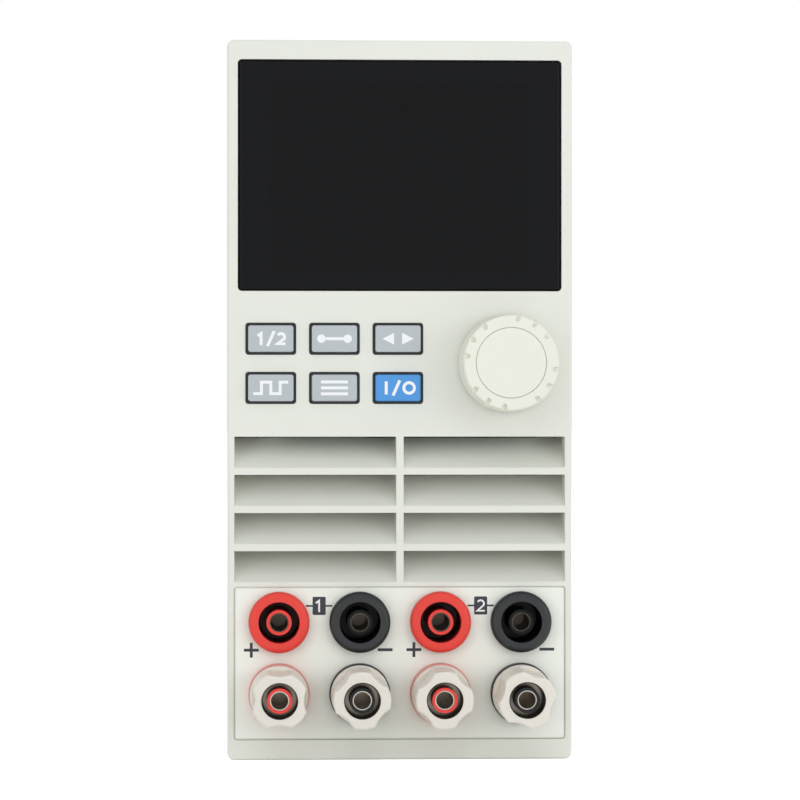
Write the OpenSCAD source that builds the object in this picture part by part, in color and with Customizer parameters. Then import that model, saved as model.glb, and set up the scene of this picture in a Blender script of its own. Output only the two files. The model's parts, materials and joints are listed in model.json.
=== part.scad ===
// Two-channel plug-in electronic load module, built from its separate pieces. Millimetres.
// X runs to the right as seen from the front, Y runs from the front to the rear, Z is up.
// The origin lies under the middle of the module, on the plane that it stands on.
// Inside the piece modules y = 0 is the front face of the panel.

/* [Front bezel] */
// width of the front panel
panel_w = 81.6; // [80:0.2:86]
// height of the front panel
panel_h = 170; // [168:0.5:176]
// depth of the bezel moulding
bezel_d = 22; // [22:0.5:28]
// thickness of the front face
face_t = 3; // [2.9:0.1:3.4]
// thickness of the side walls
wall_t = 1.7; // [1.5:0.1:1.9]
// radius of the four corners seen from the front
corner_r = 1.8; // [1:0.1:3]
// radius of the rounded front edge
edge_r = 0.8; // [0.4:0.1:0.9]

/* [Display] */
// distance from the panel side to the window
window_margin = 2.5; // [2.3:0.1:4]
// distance from the panel top to the window
window_top = 4.6; // [4:0.1:6]
// height of the window
window_h = 54.7; // [52:0.1:55.5]
// corner radius of the window
window_r = 1; // [0.6:0.1:2]
// thickness of the window lens
lens_t = 1.9; // [1.5:0.1:2]
// gap around the window lens
lens_gap = 0.15; // [0.1:0.05:0.3]
// bevel on the front edge of the lens
lens_bevel = 0.5; // [0.2:0.1:0.8]

/* [Keys] */
// width of a key face
key_w = 10.7; // [10:0.1:11.6]
// height of a key face
key_h = 6.3; // [5.8:0.1:7]
// corner radius of a key
key_r = 0.6; // [0.4:0.1:1]
// how far a key stands in front of the panel
key_proud = 1.2; // [0.8:0.1:2]
// travel of a key
key_travel = 0.6; // [0.3:0.05:0.7]
// distance between key columns
key_pitch_x = 15; // [14.6:0.1:15.4]
// distance between key rows
key_pitch_z = 11.6; // [11.2:0.1:12]
// distance from the panel side to the first key column
key_left = 10.3; // [9.8:0.1:10.8]
// distance from the window to the upper key row
key_drop = 11.25; // [10.9:0.05:11.6]
// wall thickness of the dark rim around each key
rim_t = 0.45; // [0.2:0.05:0.5]
// gap between a key and its rim
key_gap = 0.15; // [0.1:0.05:0.25]

/* [Knob] */
// diameter of the knob at its front
knob_d = 22.4; // [20:0.2:23.4]
// how much wider the knob is at its base
knob_draft = 0.6; // [0:0.1:1]
// height of the knob above the panel
knob_h = 14; // [12.5:0.5:18]
// gap behind the knob
knob_gap = 0.9; // [0.7:0.1:1.5]
// distance from the panel side to the knob axis
knob_right = 15.5; // [15:0.1:16]
// diameter of the inset cap
cap_d = 16.4; // [14:0.2:17]
// width of a grip notch
notch_w = 1.05; // [0.8:0.05:1.4]
// radial depth of a grip notch
notch_depth = 1.5; // [1:0.1:1.8]
// how far a grip notch runs back from the knob's face
notch_run = 1.1; // [0.8:0.1:2]
// angle of the first grip notch
notch_turn = 81.5; // [0:0.5:90]
// travel of the knob when it is pushed
push_travel = 0.5; // [0.3:0.05:0.6]

/* [Air louvres] */
// height of the lowest louvre above the base
slot_z = 42; // [41.8:0.05:42.6]
// height of one louvre opening
slot_h = 7.35; // [7:0.05:7.6]
// distance between louvres
slot_pitch = 9; // [8.8:0.05:9.1]
// depth of the louvre blades
louvre_d = 10; // [9:0.5:12]
// gap seen between a blade and the lip above it
slot_sight = 0.35; // [0.1:0.05:1]
// width of the bar between the two louvre columns
centre_bar = 1.7; // [1.4:0.1:2.4]

/* [Terminals] */
// distance from the panel side to the outer terminals, which sets the pitch of 19.05
terminal_edge = 12.225; // [12.15:0.025:12.3]
// height of the socket row
socket_z = 32.6; // [32.4:0.1:32.7]
// height of the binding post row
post_z = 15.7; // [15.4:0.1:15.9]
// distance from the panel side to the terminal plate
plate_margin = 2.05; // [2:0.05:2.3]
// height of the lower edge of the terminal plate
plate_z = 5.2; // [4.8:0.1:5.6]
// height of the terminal plate
plate_h = 35.3; // [35:0.05:35.5]
// groove around the terminal plate
plate_groove = 0.45; // [0.3:0.05:0.5]
// diameter of a terminal flange
flange_d = 14.4; // [14:0.1:15]
// how far a socket stands in front of the panel
socket_out = 3; // [2.8:0.1:4]
// diameter of the round opening of a socket
mouth_d = 9.65; // [9.4:0.05:9.9]
// outer diameter of the inner sleeve
sleeve_d = 6; // [5.9:0.05:6.2]
// bore of the plug contacts
plug_d = 4; // [3.9:0.05:4.1]
// thickness of a post base in front of the panel
base_out = 2.5; // [2.2:0.1:3]
// height of a clamp collar
collar_h = 3; // [2.5:0.1:3.5]
// diameter of a clamp collar
collar_d = 13.8; // [13.4:0.1:14.2]
// how far a clamp nut reaches in front of the panel
post_out = 20; // [19:0.5:23]
// diameter of a clamp nut
nut_d = 13.4; // [13:0.1:13.8]
// depth of the flutes in a clamp nut
flute_depth = 1; // [0.6:0.1:1.3]
// width of the flutes in a clamp nut
flute_w = 5.2; // [4.4:0.1:5.8]
// bore in the front of a clamp nut
nut_bore = 8.5; // [8.3:0.1:9]
// travel of a clamp nut
clamp_travel = 4; // [2:0.5:4]

/* [Chassis] */
// length of the sheet metal chassis
chassis_d = 520; // [505:5:540]
// height of the chassis
chassis_h = 168; // [167:0.5:168]
// how far the chassis is set in from each panel side
chassis_inset = 1.5; // [1.4:0.1:1.6]
// sheet thickness
sheet_t = 1.2; // [1:0.1:1.5]
// width of the lips that carry the side cover
lip_w = 10; // [9.5:0.5:12]
// size of the square fans
fan_size = 60; // [58:1:60]
// thickness of the fans
fan_d = 25; // [25:1:32]
// how far the rear connector stands out
connector_out = 10; // [9:0.5:14]

/* [Power stage] */
// length of the heat sinks
sink_len = 250; // [200:10:260]
// thickness of the heat sink base
sink_base = 6; // [4:0.5:7]
// thickness of a heat sink fin
fin_t = 2; // [1.2:0.1:2.4]
// distance between heat sink fins
fin_pitch = 6.8; // [6.6:0.1:6.9]
// thickness of the circuit boards
board_t = 1.6; // [1.2:0.1:2]
// radius of the reservoir capacitors
capacitor_r = 9; // [7:0.5:10]

/* [Fits] */
// clearance around screws and seated parts
fit_gap = 0.05; // [0.03:0.01:0.08]
// radial clearance of turning shafts
run_gap = 0.06; // [0.04:0.01:0.08]
// gap between faces that move past each other
move_gap = 0.3; // [0.3:0.05:0.4]

/* [Hidden] */
$fn = 96;

// colours, near those of the real finishes
off_white = [0.90, 0.91, 0.88];
warm_white = [0.92, 0.93, 0.88];
key_grey = [0.74, 0.77, 0.81];
key_blue = [0.29, 0.60, 0.90];
signal_red = [0.90, 0.27, 0.23];
signal_black = [0.14, 0.15, 0.17];
rubber_black = [0.06, 0.06, 0.07];
nickel = [0.72, 0.71, 0.68];
brass = [0.80, 0.66, 0.36];
copper = [0.76, 0.45, 0.30];
zinc = [0.70, 0.72, 0.74];
aluminium = [0.80, 0.81, 0.83];
board_green = [0.10, 0.36, 0.22];
lens_black = [0.05, 0.05, 0.06];

// where things lie across the depth
rear_y = bezel_d + chassis_d;
front_y = -(rear_y + connector_out - post_out) / 2;
board_y = face_t + 7.4;
frame_t = 0.8;
flange_y = face_t + frame_t + 0.05;
stem_end = flange_y + 3.35;
switch_y = board_y - 3.5;

// panel layout
inner_x = panel_w / 2 - wall_t;
window_w = panel_w - 2 * window_margin;
window_low = panel_h - window_top - window_h;
window_mid = window_low + window_h / 2;
recess_d = lens_t + 0.1;
screen_edge = 3.3;
screen_rim = 2.35;
screen_w = window_w - 2 * screen_edge;
screen_h = window_h - 2 * screen_rim;
screen_t = 4.6;
foot_edge = 7;
foot_x = screen_w / 2 - foot_edge;
foot_low = 20;
foot_high = 17;
foot_half = 2;
board_edge = 3.6;
board_half = inner_x - board_edge;
board_rise = 22;
board_fall = 3.2;
key_x = -panel_w / 2 + key_left;
key_top_z = window_low - key_drop;
key_mid_z = key_top_z - key_pitch_z / 2;
aperture_w = key_w + 2 * (key_gap + rim_t + fit_gap);
aperture_h = key_h + 2 * (key_gap + rim_t + fit_gap);
knob_x = panel_w / 2 - knob_right;
boss_edge = 8.1;
boss_x = inner_x - boss_edge;
boss_r = 2.6;
block_edge = 5.2;
block_half = 3.5;
block_front = 10;
boss_rise = 7.6;
boss_fall = 7.25;
boss_z = [key_top_z + boss_rise, key_top_z - key_pitch_z - boss_fall];
slot_rise = slot_h - slot_sight;
slot_lip = slot_pitch - slot_h;
// as many louvres as fit below the lower posts of the control board
slot_clear = 1;
slot_rows = floor((boss_z[1] - boss_r - slot_clear - slot_z + slot_lip) / slot_pitch);
louvre_top = slot_z + (slot_rows - 1) * slot_pitch + slot_h;

// terminals
plate_w = panel_w - 2 * plate_margin;
plate_inset = 0.2;
plate_t = 2;
plate_r = 0.8;
guard_t = 2;
guard_half = 6.1;
plate_back = plate_inset + plate_t;
terminal_pitch = (panel_w - 2 * terminal_edge) / 3;
terminal_x = [for (i = [0 : 3]) (i - 1.5) * terminal_pitch];
body_r = 5.8;
contact_r = 2.6;
contact_back = 18;
tail_r = 1;
tail_len = 1.4;
lead_r = 0.8;
lead_bend_r = 2.5;
lead_drop = 7.7;
lead_step = 6;
stud_r = 4;
stud_thread = 13;
sleeve_lip = 0.35;
bus_y = 9;
bus_t = 2;
bus_z = 8.8;
bus_run_t = 1.3;
bus_half = 6;
bus_run_w = 8;
bus_first = 48;
bus_step = 16;
nut_turn = [0, 49.5, 44, 73];
flute_x = nut_d / 2 * cos(asin(flute_w / nut_d));
flute_in = nut_d / 2 - flute_depth;
flute_far = (flute_x * flute_x + flute_w * flute_w / 4 - flute_in * flute_in) / (2 * (flute_x - flute_in));

// encoder
shaft_r = 3;
bush_r = 3.5;
shaft_front = knob_h - 2.4;
shaft_rear = face_t + 3;
plunger_y = shaft_rear + 0.05;

// chassis
side_x = panel_w / 2 - chassis_inset;
in_x = side_x - sheet_t;
top_z = chassis_h - sheet_t;
panel_y = rear_y - sheet_t;
lip_end = rear_y - 4;
tab_w = 6;
tab_x = in_x - 4.1;
tab_z = [sheet_t + 5, top_z - 5];
block_x = terminal_pitch;
block_z = [block_edge, min(chassis_h, panel_h - wall_t) - block_edge];
screw_r = 1.45;
hole_r = screw_r + fit_gap;
head_r = 2.8;
head_h = 2;
flat_head_r = 2.6;
flat_head_h = 1.1 * sheet_t / 1.2;
cover_screw = 6;
wall_screw = 5.5;
fan_screw = 8;
tab_screw = 5;
ear_screw_len = 6;
board_screw = 4.5;
cover_end = 20;
cover_y = [for (i = [0 : 3]) bezel_d + cover_end + i * (chassis_d - 2 * cover_end) / 3];

// power stage
standoff_h = 8.1;
standoff_r = 3;
board_x = in_x - standoff_h - board_t;
power_front = 38;
power_rear = 7;
power_y0 = bezel_d + power_front;
power_y1 = rear_y - fan_d - power_rear;
sink_front = 128;
sink_y = bezel_d + sink_front;
board_low = 4;
board_rim = 6;
board_high = chassis_h - board_rim;
// two heat sinks, one above the other, with as many fins as the board leaves room for
sink_low = 12;
sink_space = 8;
sink_top = 2;
sink_room = (board_high - sink_low - sink_space - sink_top) / 2;
fin_count = floor((sink_room - fin_t) / fin_pitch + 1.001);
sink_h = (fin_count - 1) * fin_pitch + fin_t;
sink_z = [sink_low, sink_low + sink_h + sink_space];
fin_clear = 5.1;
fin_tip = -in_x + fin_clear;
gate_edge = 4.1;
gate_half = in_x - gate_edge;
capacitor_h = 32;
capacitor_front = 92;
capacitor_y = bezel_d + capacitor_front;
capacitor_low = 48;
capacitor_high = 102;
capacitor_step = 22;
shunt_front = 62;
shunt_y = bezel_d + shunt_front;
shunt_w = 6;
shunt_half = 12;
shunt_t = 1.5;
shunt_low = 60;
shunt_high = 112;
sink_gap = 8.4;
sink_foot = 4;
case_t = 5;
case_l = 21;
case_half = 8;
case_first = 10;
leg_half = 0.6;
leg_rise = 2.4;
leg_out = 3;
leg_pitch = 5.4;
ribbon_in = 8.4;
ribbon_x = board_x - ribbon_in;
ribbon_z = 108;
ribbon_w = 20;
ribbon_t = 1;
ribbon_rear_in = 14.4;
ribbon_rear_x = board_x - ribbon_rear_in;
ribbon_front = 15;
ribbon_rear = 20;
// where the power board is screwed down: depth and height
stand_low = board_low + 5;
stand_high = board_high - 6;
stand_mid = sink_low + sink_h + sink_space / 2;
stand_gap = 10;
stand_rear = 20;
standoffs = [[sink_y - stand_gap, stand_low], [power_y0 + 6, stand_high], [power_y1 - stand_gap, stand_low],
    [power_y1 - stand_gap, stand_high], [sink_y - stand_gap, stand_mid],
    [sink_y + sink_len + stand_rear, stand_mid]];

// fans and rear
fan_gap = 1;
fan_rim = 1.8;
fan_low = top_z - fan_rim - fan_gap - 2 * fan_size;
fan_z = [fan_low + fan_size / 2, fan_low + fan_gap + 1.5 * fan_size];
hub_r = 13;
hub_in_r = 10;
motor_r = 12;
bearing_r = 4;
fan_shaft_r = 1.5;
strut_t = 3;
vent_first = 7;
vent_w = 3.5;
vent_pitch = 5.4;
spoke_w = 3.2;
fan_y = panel_y - fan_d;
duct_r = fan_size / 2 - 1.5;
fan_hole = fan_size / 2 - 5;
guide_r = 2.5;
guide_body_r = 4;
guide_rim_r = 4.8;
bush_edge = 5.4;
bush_x = in_x - bush_edge;
connector_z = 22;
connector_h = 12;
connector_in = 14;
connector_wall = 1.6;
ear_gap = 0.9;
ear_half = bush_x - guide_rim_r - ear_gap;
ear_reach = 7;
ear_screw = 3.6;
ear_x = ear_half - ear_screw;
ear_edge = 2;
ear_t = 1.6;
connector_w = 2 * (ear_half - ear_reach);
guide_len = 10;
guide_rim_t = 1.5;
clinch_r = 1.65;
clinch_neck_r = 2.7;
clinch_body_r = 3.5;
clinch_len = 3.5;
clinch_z = 36;

// a rectangle with round corners, centred
module rounded(w, h, r) {
    square([w - 2 * r, h], center = true);
    square([w, h - 2 * r], center = true);
    for (sx = [-1, 1], sy = [-1, 1])
        translate([sx * (w / 2 - r), sy * (h / 2 - r)]) circle(r);
}

// a flat shape drawn as seen from the front, filled from depth y0 to y1
module slab(y0, y1) {
    translate([0, y1, 0]) rotate([90, 0, 0]) linear_extrude(y1 - y0) children();
}

// a plate with round corners about x, z, from depth y0 to y1
module plate(w, h, r, x, z, y0, y1) {
    translate([x, 0, z]) slab(y0, y1) rounded(w, h, r);
}

// a round bar along Y about x, z
module rod(r, x, z, y0, y1) {
    translate([x, y1, z]) rotate([90, 0, 0]) cylinder(r = r, h = y1 - y0);
}

// a block between two corners
module block(a, b) {
    translate(a) cube(b - a);
}

// a turned shape about an axis along Y: drawn as radius and distance in front of the panel
module turned(x, z) {
    translate([x, 0, z]) rotate([90, 0, 0]) rotate_extrude() children();
}

// a rectangle in a turned shape, from radius r0 to r1 and from f0 to f1 in front
module band(r0, r1, f0, f1) {
    translate([r0, f0]) square([r1 - r0, f1 - f0]);
}

// a turned rim with a round front edge
module round_rim(r, f0, f1, edge) {
    band(0, r - edge, f0, f1);
    band(0, r, f0, f1 - edge);
    translate([r - edge, f1 - edge]) circle(edge);
}

// a flat outline with both front corners rounded: across, then depth
module front_rounded(w, d, r) {
    translate([-w / 2, r]) square([w, d - r]);
    translate([-w / 2 + r, 0]) square([w - 2 * r, d]);
    for (s = [-1, 1]) translate([s * (w / 2 - r), r]) circle(r);
}

// a flat outline with both front corners cut off: across, then depth
module front_bevelled(w, d, c) {
    polygon([[-w / 2 + c, 0], [w / 2 - c, 0], [w / 2, c], [w / 2, d], [-w / 2, d], [-w / 2, c]]);
}

// fills an outline of across and depth along the width w, about the middle of the height z
module across(w, z) {
    translate([-w / 2, 0, z]) rotate([90, 0, 90]) linear_extrude(w) mirror([1, -1, 0]) children();
}

// places the six keys: column 0 to 2, row 0 on top
module at_key(column, row) {
    translate([key_x + column * key_pitch_x, 0, key_top_z - row * key_pitch_z]) children();
}

// the centres of the six keys
module each_key() {
    for (column = [0 : 2], row = [0 : 1]) at_key(column, row) children();
}

// moves the whole module so that its middle lies over the origin
module placed() {
    translate([0, front_y, 0]) children();
}

// one slanted louvre blade, from its front lip up to its rear edge
module blade(z) {
    w = 2 * inner_x + 0.8;
    translate([-w / 2, 0, 0]) rotate([90, 0, 90]) linear_extrude(w)
        polygon([[0, z - slot_lip], [0, z], [louvre_d, z + slot_rise],
            [louvre_d, z + slot_rise - slot_lip]]);
}

module bezel_shell() {
    intersection() {
        plate(panel_w, panel_h, corner_r, 0, panel_h / 2, 0, bezel_d);
        across(panel_w + 2, panel_h / 2) front_rounded(panel_h, bezel_d, edge_r);
        translate([0, 0, -1]) linear_extrude(panel_h + 2) front_rounded(panel_w, bezel_d, edge_r);
    }
}

module front_bezel() {
    color(off_white) placed() difference() {
        union() {
            difference() {
                bezel_shell();
                block([-inner_x, face_t, wall_t], [inner_x, bezel_d + 1, panel_h - wall_t]);
                block([-inner_x, -1, slot_z], [inner_x, face_t + 1, louvre_top]);
            }
            for (i = [0 : slot_rows - 1]) blade(slot_z + i * slot_pitch);
            block([-centre_bar / 2, 0, slot_z - 0.5], [centre_bar / 2, louvre_d, louvre_top + 0.5]);
            // posts for the control board
            for (x = [-boss_x, boss_x], z = boss_z) rod(boss_r, x, z, face_t - 0.5, board_y);
            // blocks that the chassis is screwed to
            for (s = [-1, 1]) {
                block([s * block_x - block_half, block_front, wall_t - 0.5],
                    [s * block_x + block_half, bezel_d, block_z[0] + block_half]);
                block([s * block_x - block_half, board_y + board_t + 1.4, block_z[1] - block_half],
                    [s * block_x + block_half, bezel_d, panel_h - wall_t + 0.5]);
            }
            // insulating wall behind the socket row
            block([-inner_x - 0.4, bezel_d - guard_t, socket_z - guard_half],
                [inner_x + 0.4, bezel_d, socket_z + guard_half]);
        }
        plate(window_w, window_h, window_r, 0, window_mid, -1, recess_d);
        plate(window_w - 9, window_h - 7, 1, 0, window_mid, -1, face_t + 1);
        each_key() plate(aperture_w, aperture_h, key_r + key_gap, 0, 0, -1, face_t + 1);
        rod(bush_r + 0.2, knob_x, key_mid_z, -1, face_t + 1);
        plate(plate_w + 2 * plate_groove, plate_h + 2 * plate_groove, plate_r, 0, plate_z + plate_h / 2,
            -1, plate_back);
        block([-plate_w / 2 + 1.75, -1, plate_z + 2.3],
            [plate_w / 2 - 1.75, face_t + 1, plate_z + plate_h - 0.6]);
        for (x = [-boss_x, boss_x], z = boss_z) rod(1.05, x, z, face_t + 1.5, board_y + 1);
        for (x = [-block_x, block_x], z = block_z) rod(1.25, x, z, bezel_d - 7, bezel_d + 1);
    }
}

module display_window() {
    w = window_w - 2 * lens_gap;
    h = window_h - 2 * lens_gap;
    color(lens_black) placed() translate([0, 0.1, 0]) intersection() {
        plate(w, h, window_r - lens_gap, 0, window_mid, 0, lens_t);
        across(w + 2, window_mid) front_bevelled(h, lens_t, lens_bevel);
        translate([0, 0, window_mid - h / 2 - 1])
            linear_extrude(h + 2) front_bevelled(w, lens_t, lens_bevel);
    }
}

module display_module() {
    color(zinc) placed() {
        block([-screen_w / 2, face_t, window_mid - screen_h / 2],
            [screen_w / 2, face_t + screen_t, window_mid + screen_h / 2]);
        for (x = [-foot_x, foot_x], z = [window_mid - foot_low, window_mid + foot_high])
            block([x - foot_half, face_t + screen_t, z - foot_half],
                [x + foot_half, board_y, z + foot_half]);
    }
}

module control_board() {
    color(board_green) placed() difference() {
        block([-board_half, board_y, boss_z[1] - board_fall],
            [board_half, board_y + board_t, window_mid + board_rise]);
        for (x = [-boss_x, boss_x], z = boss_z) rod(1.05, x, z, board_y - 1, board_y + board_t + 1);
    }
}

module keypad_frame() {
    color(rubber_black) placed() difference() {
        union() {
            plate(2 * key_pitch_x + 14.4, key_pitch_z + 9, 1, key_x + key_pitch_x, key_mid_z,
                face_t, face_t + frame_t);
            each_key() plate(aperture_w - 2 * fit_gap, aperture_h - 2 * fit_gap, key_r + key_gap, 0, 0,
                -0.05, face_t + 0.1);
        }
        each_key() plate(key_w + 2 * key_gap, key_h + 2 * key_gap, key_r + key_gap / 2, 0, 0,
            -1, face_t + 2);
    }
}

module tact_switches() {
    color(rubber_black) placed() each_key() difference() {
        block([-3, switch_y, -3], [3, board_y, 3]);
        rod(1.5 + move_gap, 0, 0, switch_y - 1, stem_end + key_travel + 0.15);
    }
}

// one key with its flange and stem
module key(column, row) {
    placed() at_key(column, row) {
        plate(key_w, key_h, key_r, 0, 0, -key_proud, flange_y + 0.1);
        plate(key_w + 1.6, key_h + 1.8, key_r, 0, 0, flange_y, flange_y + 1.2);
        rod(1.5, 0, 0, flange_y + 1, stem_end);
    }
}

module key_channel() { color(key_grey) key(0, 0); }
module key_short() { color(key_grey) key(1, 0); }
module key_cursor() { color(key_grey) key(2, 0); }
module key_pulse() { color(key_grey) key(0, 1); }
module key_mode() { color(key_grey) key(1, 1); }
module key_on_off() { color(key_blue) key(2, 1); }

module encoder_body() {
    color(zinc) placed() difference() {
        union() {
            block([knob_x - 6, face_t, key_mid_z - 6], [knob_x + 6, board_y, key_mid_z + 6]);
            rod(bush_r, knob_x, key_mid_z, -2.6, face_t + 1);
        }
        rod(shaft_r + run_gap, knob_x, key_mid_z, -4, plunger_y + 1 + push_travel + 0.05);
    }
}

module encoder_nut() {
    color(nickel) placed() difference() {
        translate([knob_x, 0, key_mid_z]) rotate([90, 0, 0]) cylinder(r = 5.7, h = 2, $fn = 6);
        rod(bush_r + fit_gap, knob_x, key_mid_z, -3, 1);
    }
}

module encoder_plunger() {
    color(rubber_black) placed() rod(shaft_r - 0.3 + run_gap, knob_x, key_mid_z, plunger_y, plunger_y + 1);
}

module encoder_shaft() {
    color(nickel) placed() rod(shaft_r, knob_x, key_mid_z, -shaft_front, shaft_rear);
}

module knob() {
    r = knob_d / 2;
    seat = cap_d / 2 + fit_gap;
    color(warm_white) placed() difference() {
        turned(knob_x, key_mid_z) polygon([[0, knob_h - 1.2], [seat, knob_h - 1.2], [seat, knob_h],
            [r - 0.4, knob_h], [r, knob_h - 0.4], [r + knob_draft / 2, knob_gap], [r - 2.6, knob_gap],
            [r - 2.6, knob_h - 4.5], [5.2, knob_h - 4.5], [5.2, 4.2], [shaft_r + 0.02, 4.2],
            [shaft_r + 0.02, shaft_front + 0.02], [0, shaft_front + 0.02]]);
        // notches in three groups of four places, every fourth place left plain
        for (k = [0 : 15]) if (k % 4 != 3)
            translate([knob_x, 0, key_mid_z]) rotate([0, 22.5 * k - notch_turn, 0]) {
                rod(notch_w / 2, r - notch_depth + notch_w / 2, 0, -knob_h - 1, -knob_h + notch_run);
                block([r - notch_depth + notch_w / 2, -knob_h - 1, -notch_w / 2],
                    [r + 2, -knob_h + notch_run, notch_w / 2]);
            }
    }
}

module knob_cap() {
    color(warm_white) placed() rod(cap_d / 2, knob_x, key_mid_z, -knob_h, -knob_h + 1.2);
}

module terminal_plate() {
    w = plate_w + 2 * (plate_groove - fit_gap);
    h = plate_h + 2 * (plate_groove - fit_gap);
    mid = plate_z + plate_h / 2;
    color(off_white) placed() difference() {
        translate([0, plate_inset, 0]) intersection() {
            plate(w, h, plate_r - fit_gap, 0, mid, 0, plate_t);
            across(w + 2, mid) front_bevelled(h, plate_t, plate_groove);
            translate([0, 0, mid - h / 2 - 1])
                linear_extrude(h + 2) front_bevelled(w, plate_t, plate_groove);
        }
        for (x = terminal_x, z = [socket_z, post_z]) rod(body_r + fit_gap, x, z, -1, plate_back + 1);
    }
}

// the moulded outer part of a shrouded socket
module socket_housing(x) {
    turned(x, socket_z) difference() {
        union() {
            round_rim(flange_d / 2, -plate_inset, socket_out, 1.2);
            band(0, body_r, -16, 0);
        }
        band(0, mouth_d / 2, -13, socket_out + 1);
        band(0, contact_r + 0.02, -17, 0);
    }
}

module socket_housings_red() {
    color(signal_red) placed() for (i = [0, 2]) socket_housing(terminal_x[i]);
}

module socket_housings_black() {
    color(signal_black) placed() for (i = [1, 3]) socket_housing(terminal_x[i]);
}

module socket_contacts() {
    color(nickel) placed() for (x = terminal_x) turned(x, socket_z) difference() {
        union() {
            band(0, contact_r, -contact_back, socket_out - 1.6);
            band(0, tail_r, -contact_back - tail_len, -contact_back + 1);
        }
        band(0, plug_d / 2, -15, socket_out);
    }
}

// the insulating sleeves of one socket and one post: a tube with a lip over the metal end
module sleeve(x, z, r, f0, tip) {
    turned(x, z) difference() {
        band(0, r, f0, tip);
        band(0, contact_r + 0.02, f0 - 1, tip - 0.7);
        band(0, contact_r - sleeve_lip, f0, tip + 1);
    }
}

module sleeves(list) {
    for (i = list) {
        sleeve(terminal_x[i], socket_z, sleeve_d / 2, -13, socket_out - 0.9);
        sleeve(terminal_x[i], post_z, sleeve_d / 2 - 0.05, stud_thread, post_out - 0.7);
    }
}

module sleeves_red() { color(signal_red) placed() sleeves([0, 2]); }
module sleeves_black() { color(signal_black) placed() sleeves([1, 3]); }

module terminal_nuts() {
    color(rubber_black) placed() for (x = terminal_x, z = [socket_z, post_z]) difference() {
        translate([x, plate_back + 3.8, z]) rotate([90, 0, 0]) cylinder(r = 8.08, h = 3.8, $fn = 6);
        rod(body_r + fit_gap, x, z, 0, 9);
    }
}

// the moulded base ring of a binding post
module post_base(x) {
    turned(x, post_z) difference() {
        union() {
            round_rim(flange_d / 2, -plate_inset, base_out, 0.4);
            band(0, body_r, -bus_y, 0);
        }
        band(0, stud_r + 0.02, -bus_y - 1, base_out + 1);
    }
}

module post_bases_red() { color(signal_red) placed() for (i = [0, 2]) post_base(terminal_x[i]); }
module post_bases_black() { color(signal_black) placed() for (i = [1, 3]) post_base(terminal_x[i]); }

module post_studs() {
    color(nickel) placed() for (x = terminal_x) turned(x, post_z) difference() {
        union() {
            band(0, stud_r, -19, stud_thread);
            band(0, contact_r, 0, post_out - 1.4);
        }
        band(0, plug_d / 2, 1.5, post_out);
    }
}

// the collar that presses on the wire: it follows its nut without turning
module post_collar(i) {
    color(warm_white) placed() turned(terminal_x[i], post_z) difference() {
        round_rim(collar_d / 2, base_out + 0.05, base_out + collar_h, 0.4);
        band(0, stud_r + move_gap, base_out - 1, base_out + collar_h + 1);
    }
}

// the fluted clamp nut, drawn closed
module post_nut(i) {
    back = base_out + collar_h + 0.05;
    color(warm_white) placed() difference() {
        turned(terminal_x[i], post_z) difference() {
            band(0, nut_d / 2, back, post_out);
            band(0, stud_r + run_gap, back - 1, post_out + 1);
            band(0, nut_bore / 2, back + 6, post_out + 1);
        }
        for (k = [0 : 3]) translate([terminal_x[i], 0, post_z]) rotate([0, 90 * k - nut_turn[i], 0])
            rod(flute_far - flute_in, flute_far, 0, -post_out - 1, -back + 1);
    }
}

module post_collar_1() { post_collar(0); }
module post_collar_2() { post_collar(1); }
module post_collar_3() { post_collar(2); }
module post_collar_4() { post_collar(3); }
module post_nut_1() { post_nut(0); }
module post_nut_2() { post_nut(1); }
module post_nut_3() { post_nut(2); }
module post_nut_4() { post_nut(3); }

module bus_nuts() {
    color(nickel) placed() for (x = terminal_x) difference() {
        translate([x, bus_y + bus_t + 4, post_z]) rotate([90, 0, 0]) cylinder(r = 6.35, h = 4, $fn = 6);
        rod(stud_r + fit_gap, x, post_z, bus_y, bus_y + 10);
    }
}

// copper straps from the binding posts to the power board
module bus_bars() {
    color(copper) placed() for (i = [0 : 3]) {
        x = terminal_x[i];
        right = min(x + bus_run_w / 2, board_x);
        turn_y = bezel_d + bus_first + bus_step * (3 - i);
        difference() {
            union() {
                block([x - bus_half, bus_y, bus_z], [x + bus_half, bus_y + bus_t, post_z + bus_half - 0.4]);
                block([right - bus_run_w, bus_y, bus_z], [right, turn_y + bus_run_w, bus_z + bus_run_t]);
                block([right - bus_run_w, turn_y, bus_z], [board_x, turn_y + bus_run_w, bus_z + bus_run_t]);
            }
            rod(stud_r + fit_gap, x, post_z, bus_y - 1, bus_y + bus_t + 1);
        }
    }
}

// a quarter bend of a lead, from +X towards +Y
module lead_bend(r, bend) {
    rotate_extrude(angle = 90) translate([bend, 0]) circle(r);
}

// insulated leads from the sense sockets to the power board
module sense_leads() {
    r = lead_r;
    bend = lead_bend_r;
    y = contact_back + r + fit_gap;
    z = socket_z - lead_drop;
    color(rubber_black) placed() for (i = [0 : 3]) {
        x = terminal_x[i];
        turn_y = power_y0 + lead_step * (4 - i);
        translate([x, y, z + bend]) cylinder(r = r, h = socket_z - tail_r - fit_gap - z - bend);
        translate([x, y + bend, z + bend]) rotate([-90, 0, -90]) lead_bend(r, bend);
        rod(r, x, z, y + bend, i == 3 ? power_y0 : turn_y - bend);
        if (i < 3) {
            translate([x + bend, turn_y - bend, z]) rotate([0, 180, 0]) lead_bend(r, bend);
            translate([x + bend, turn_y, z]) rotate([0, 90, 0]) cylinder(r = r, h = board_x - x - bend);
        }
    }
}

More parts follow.
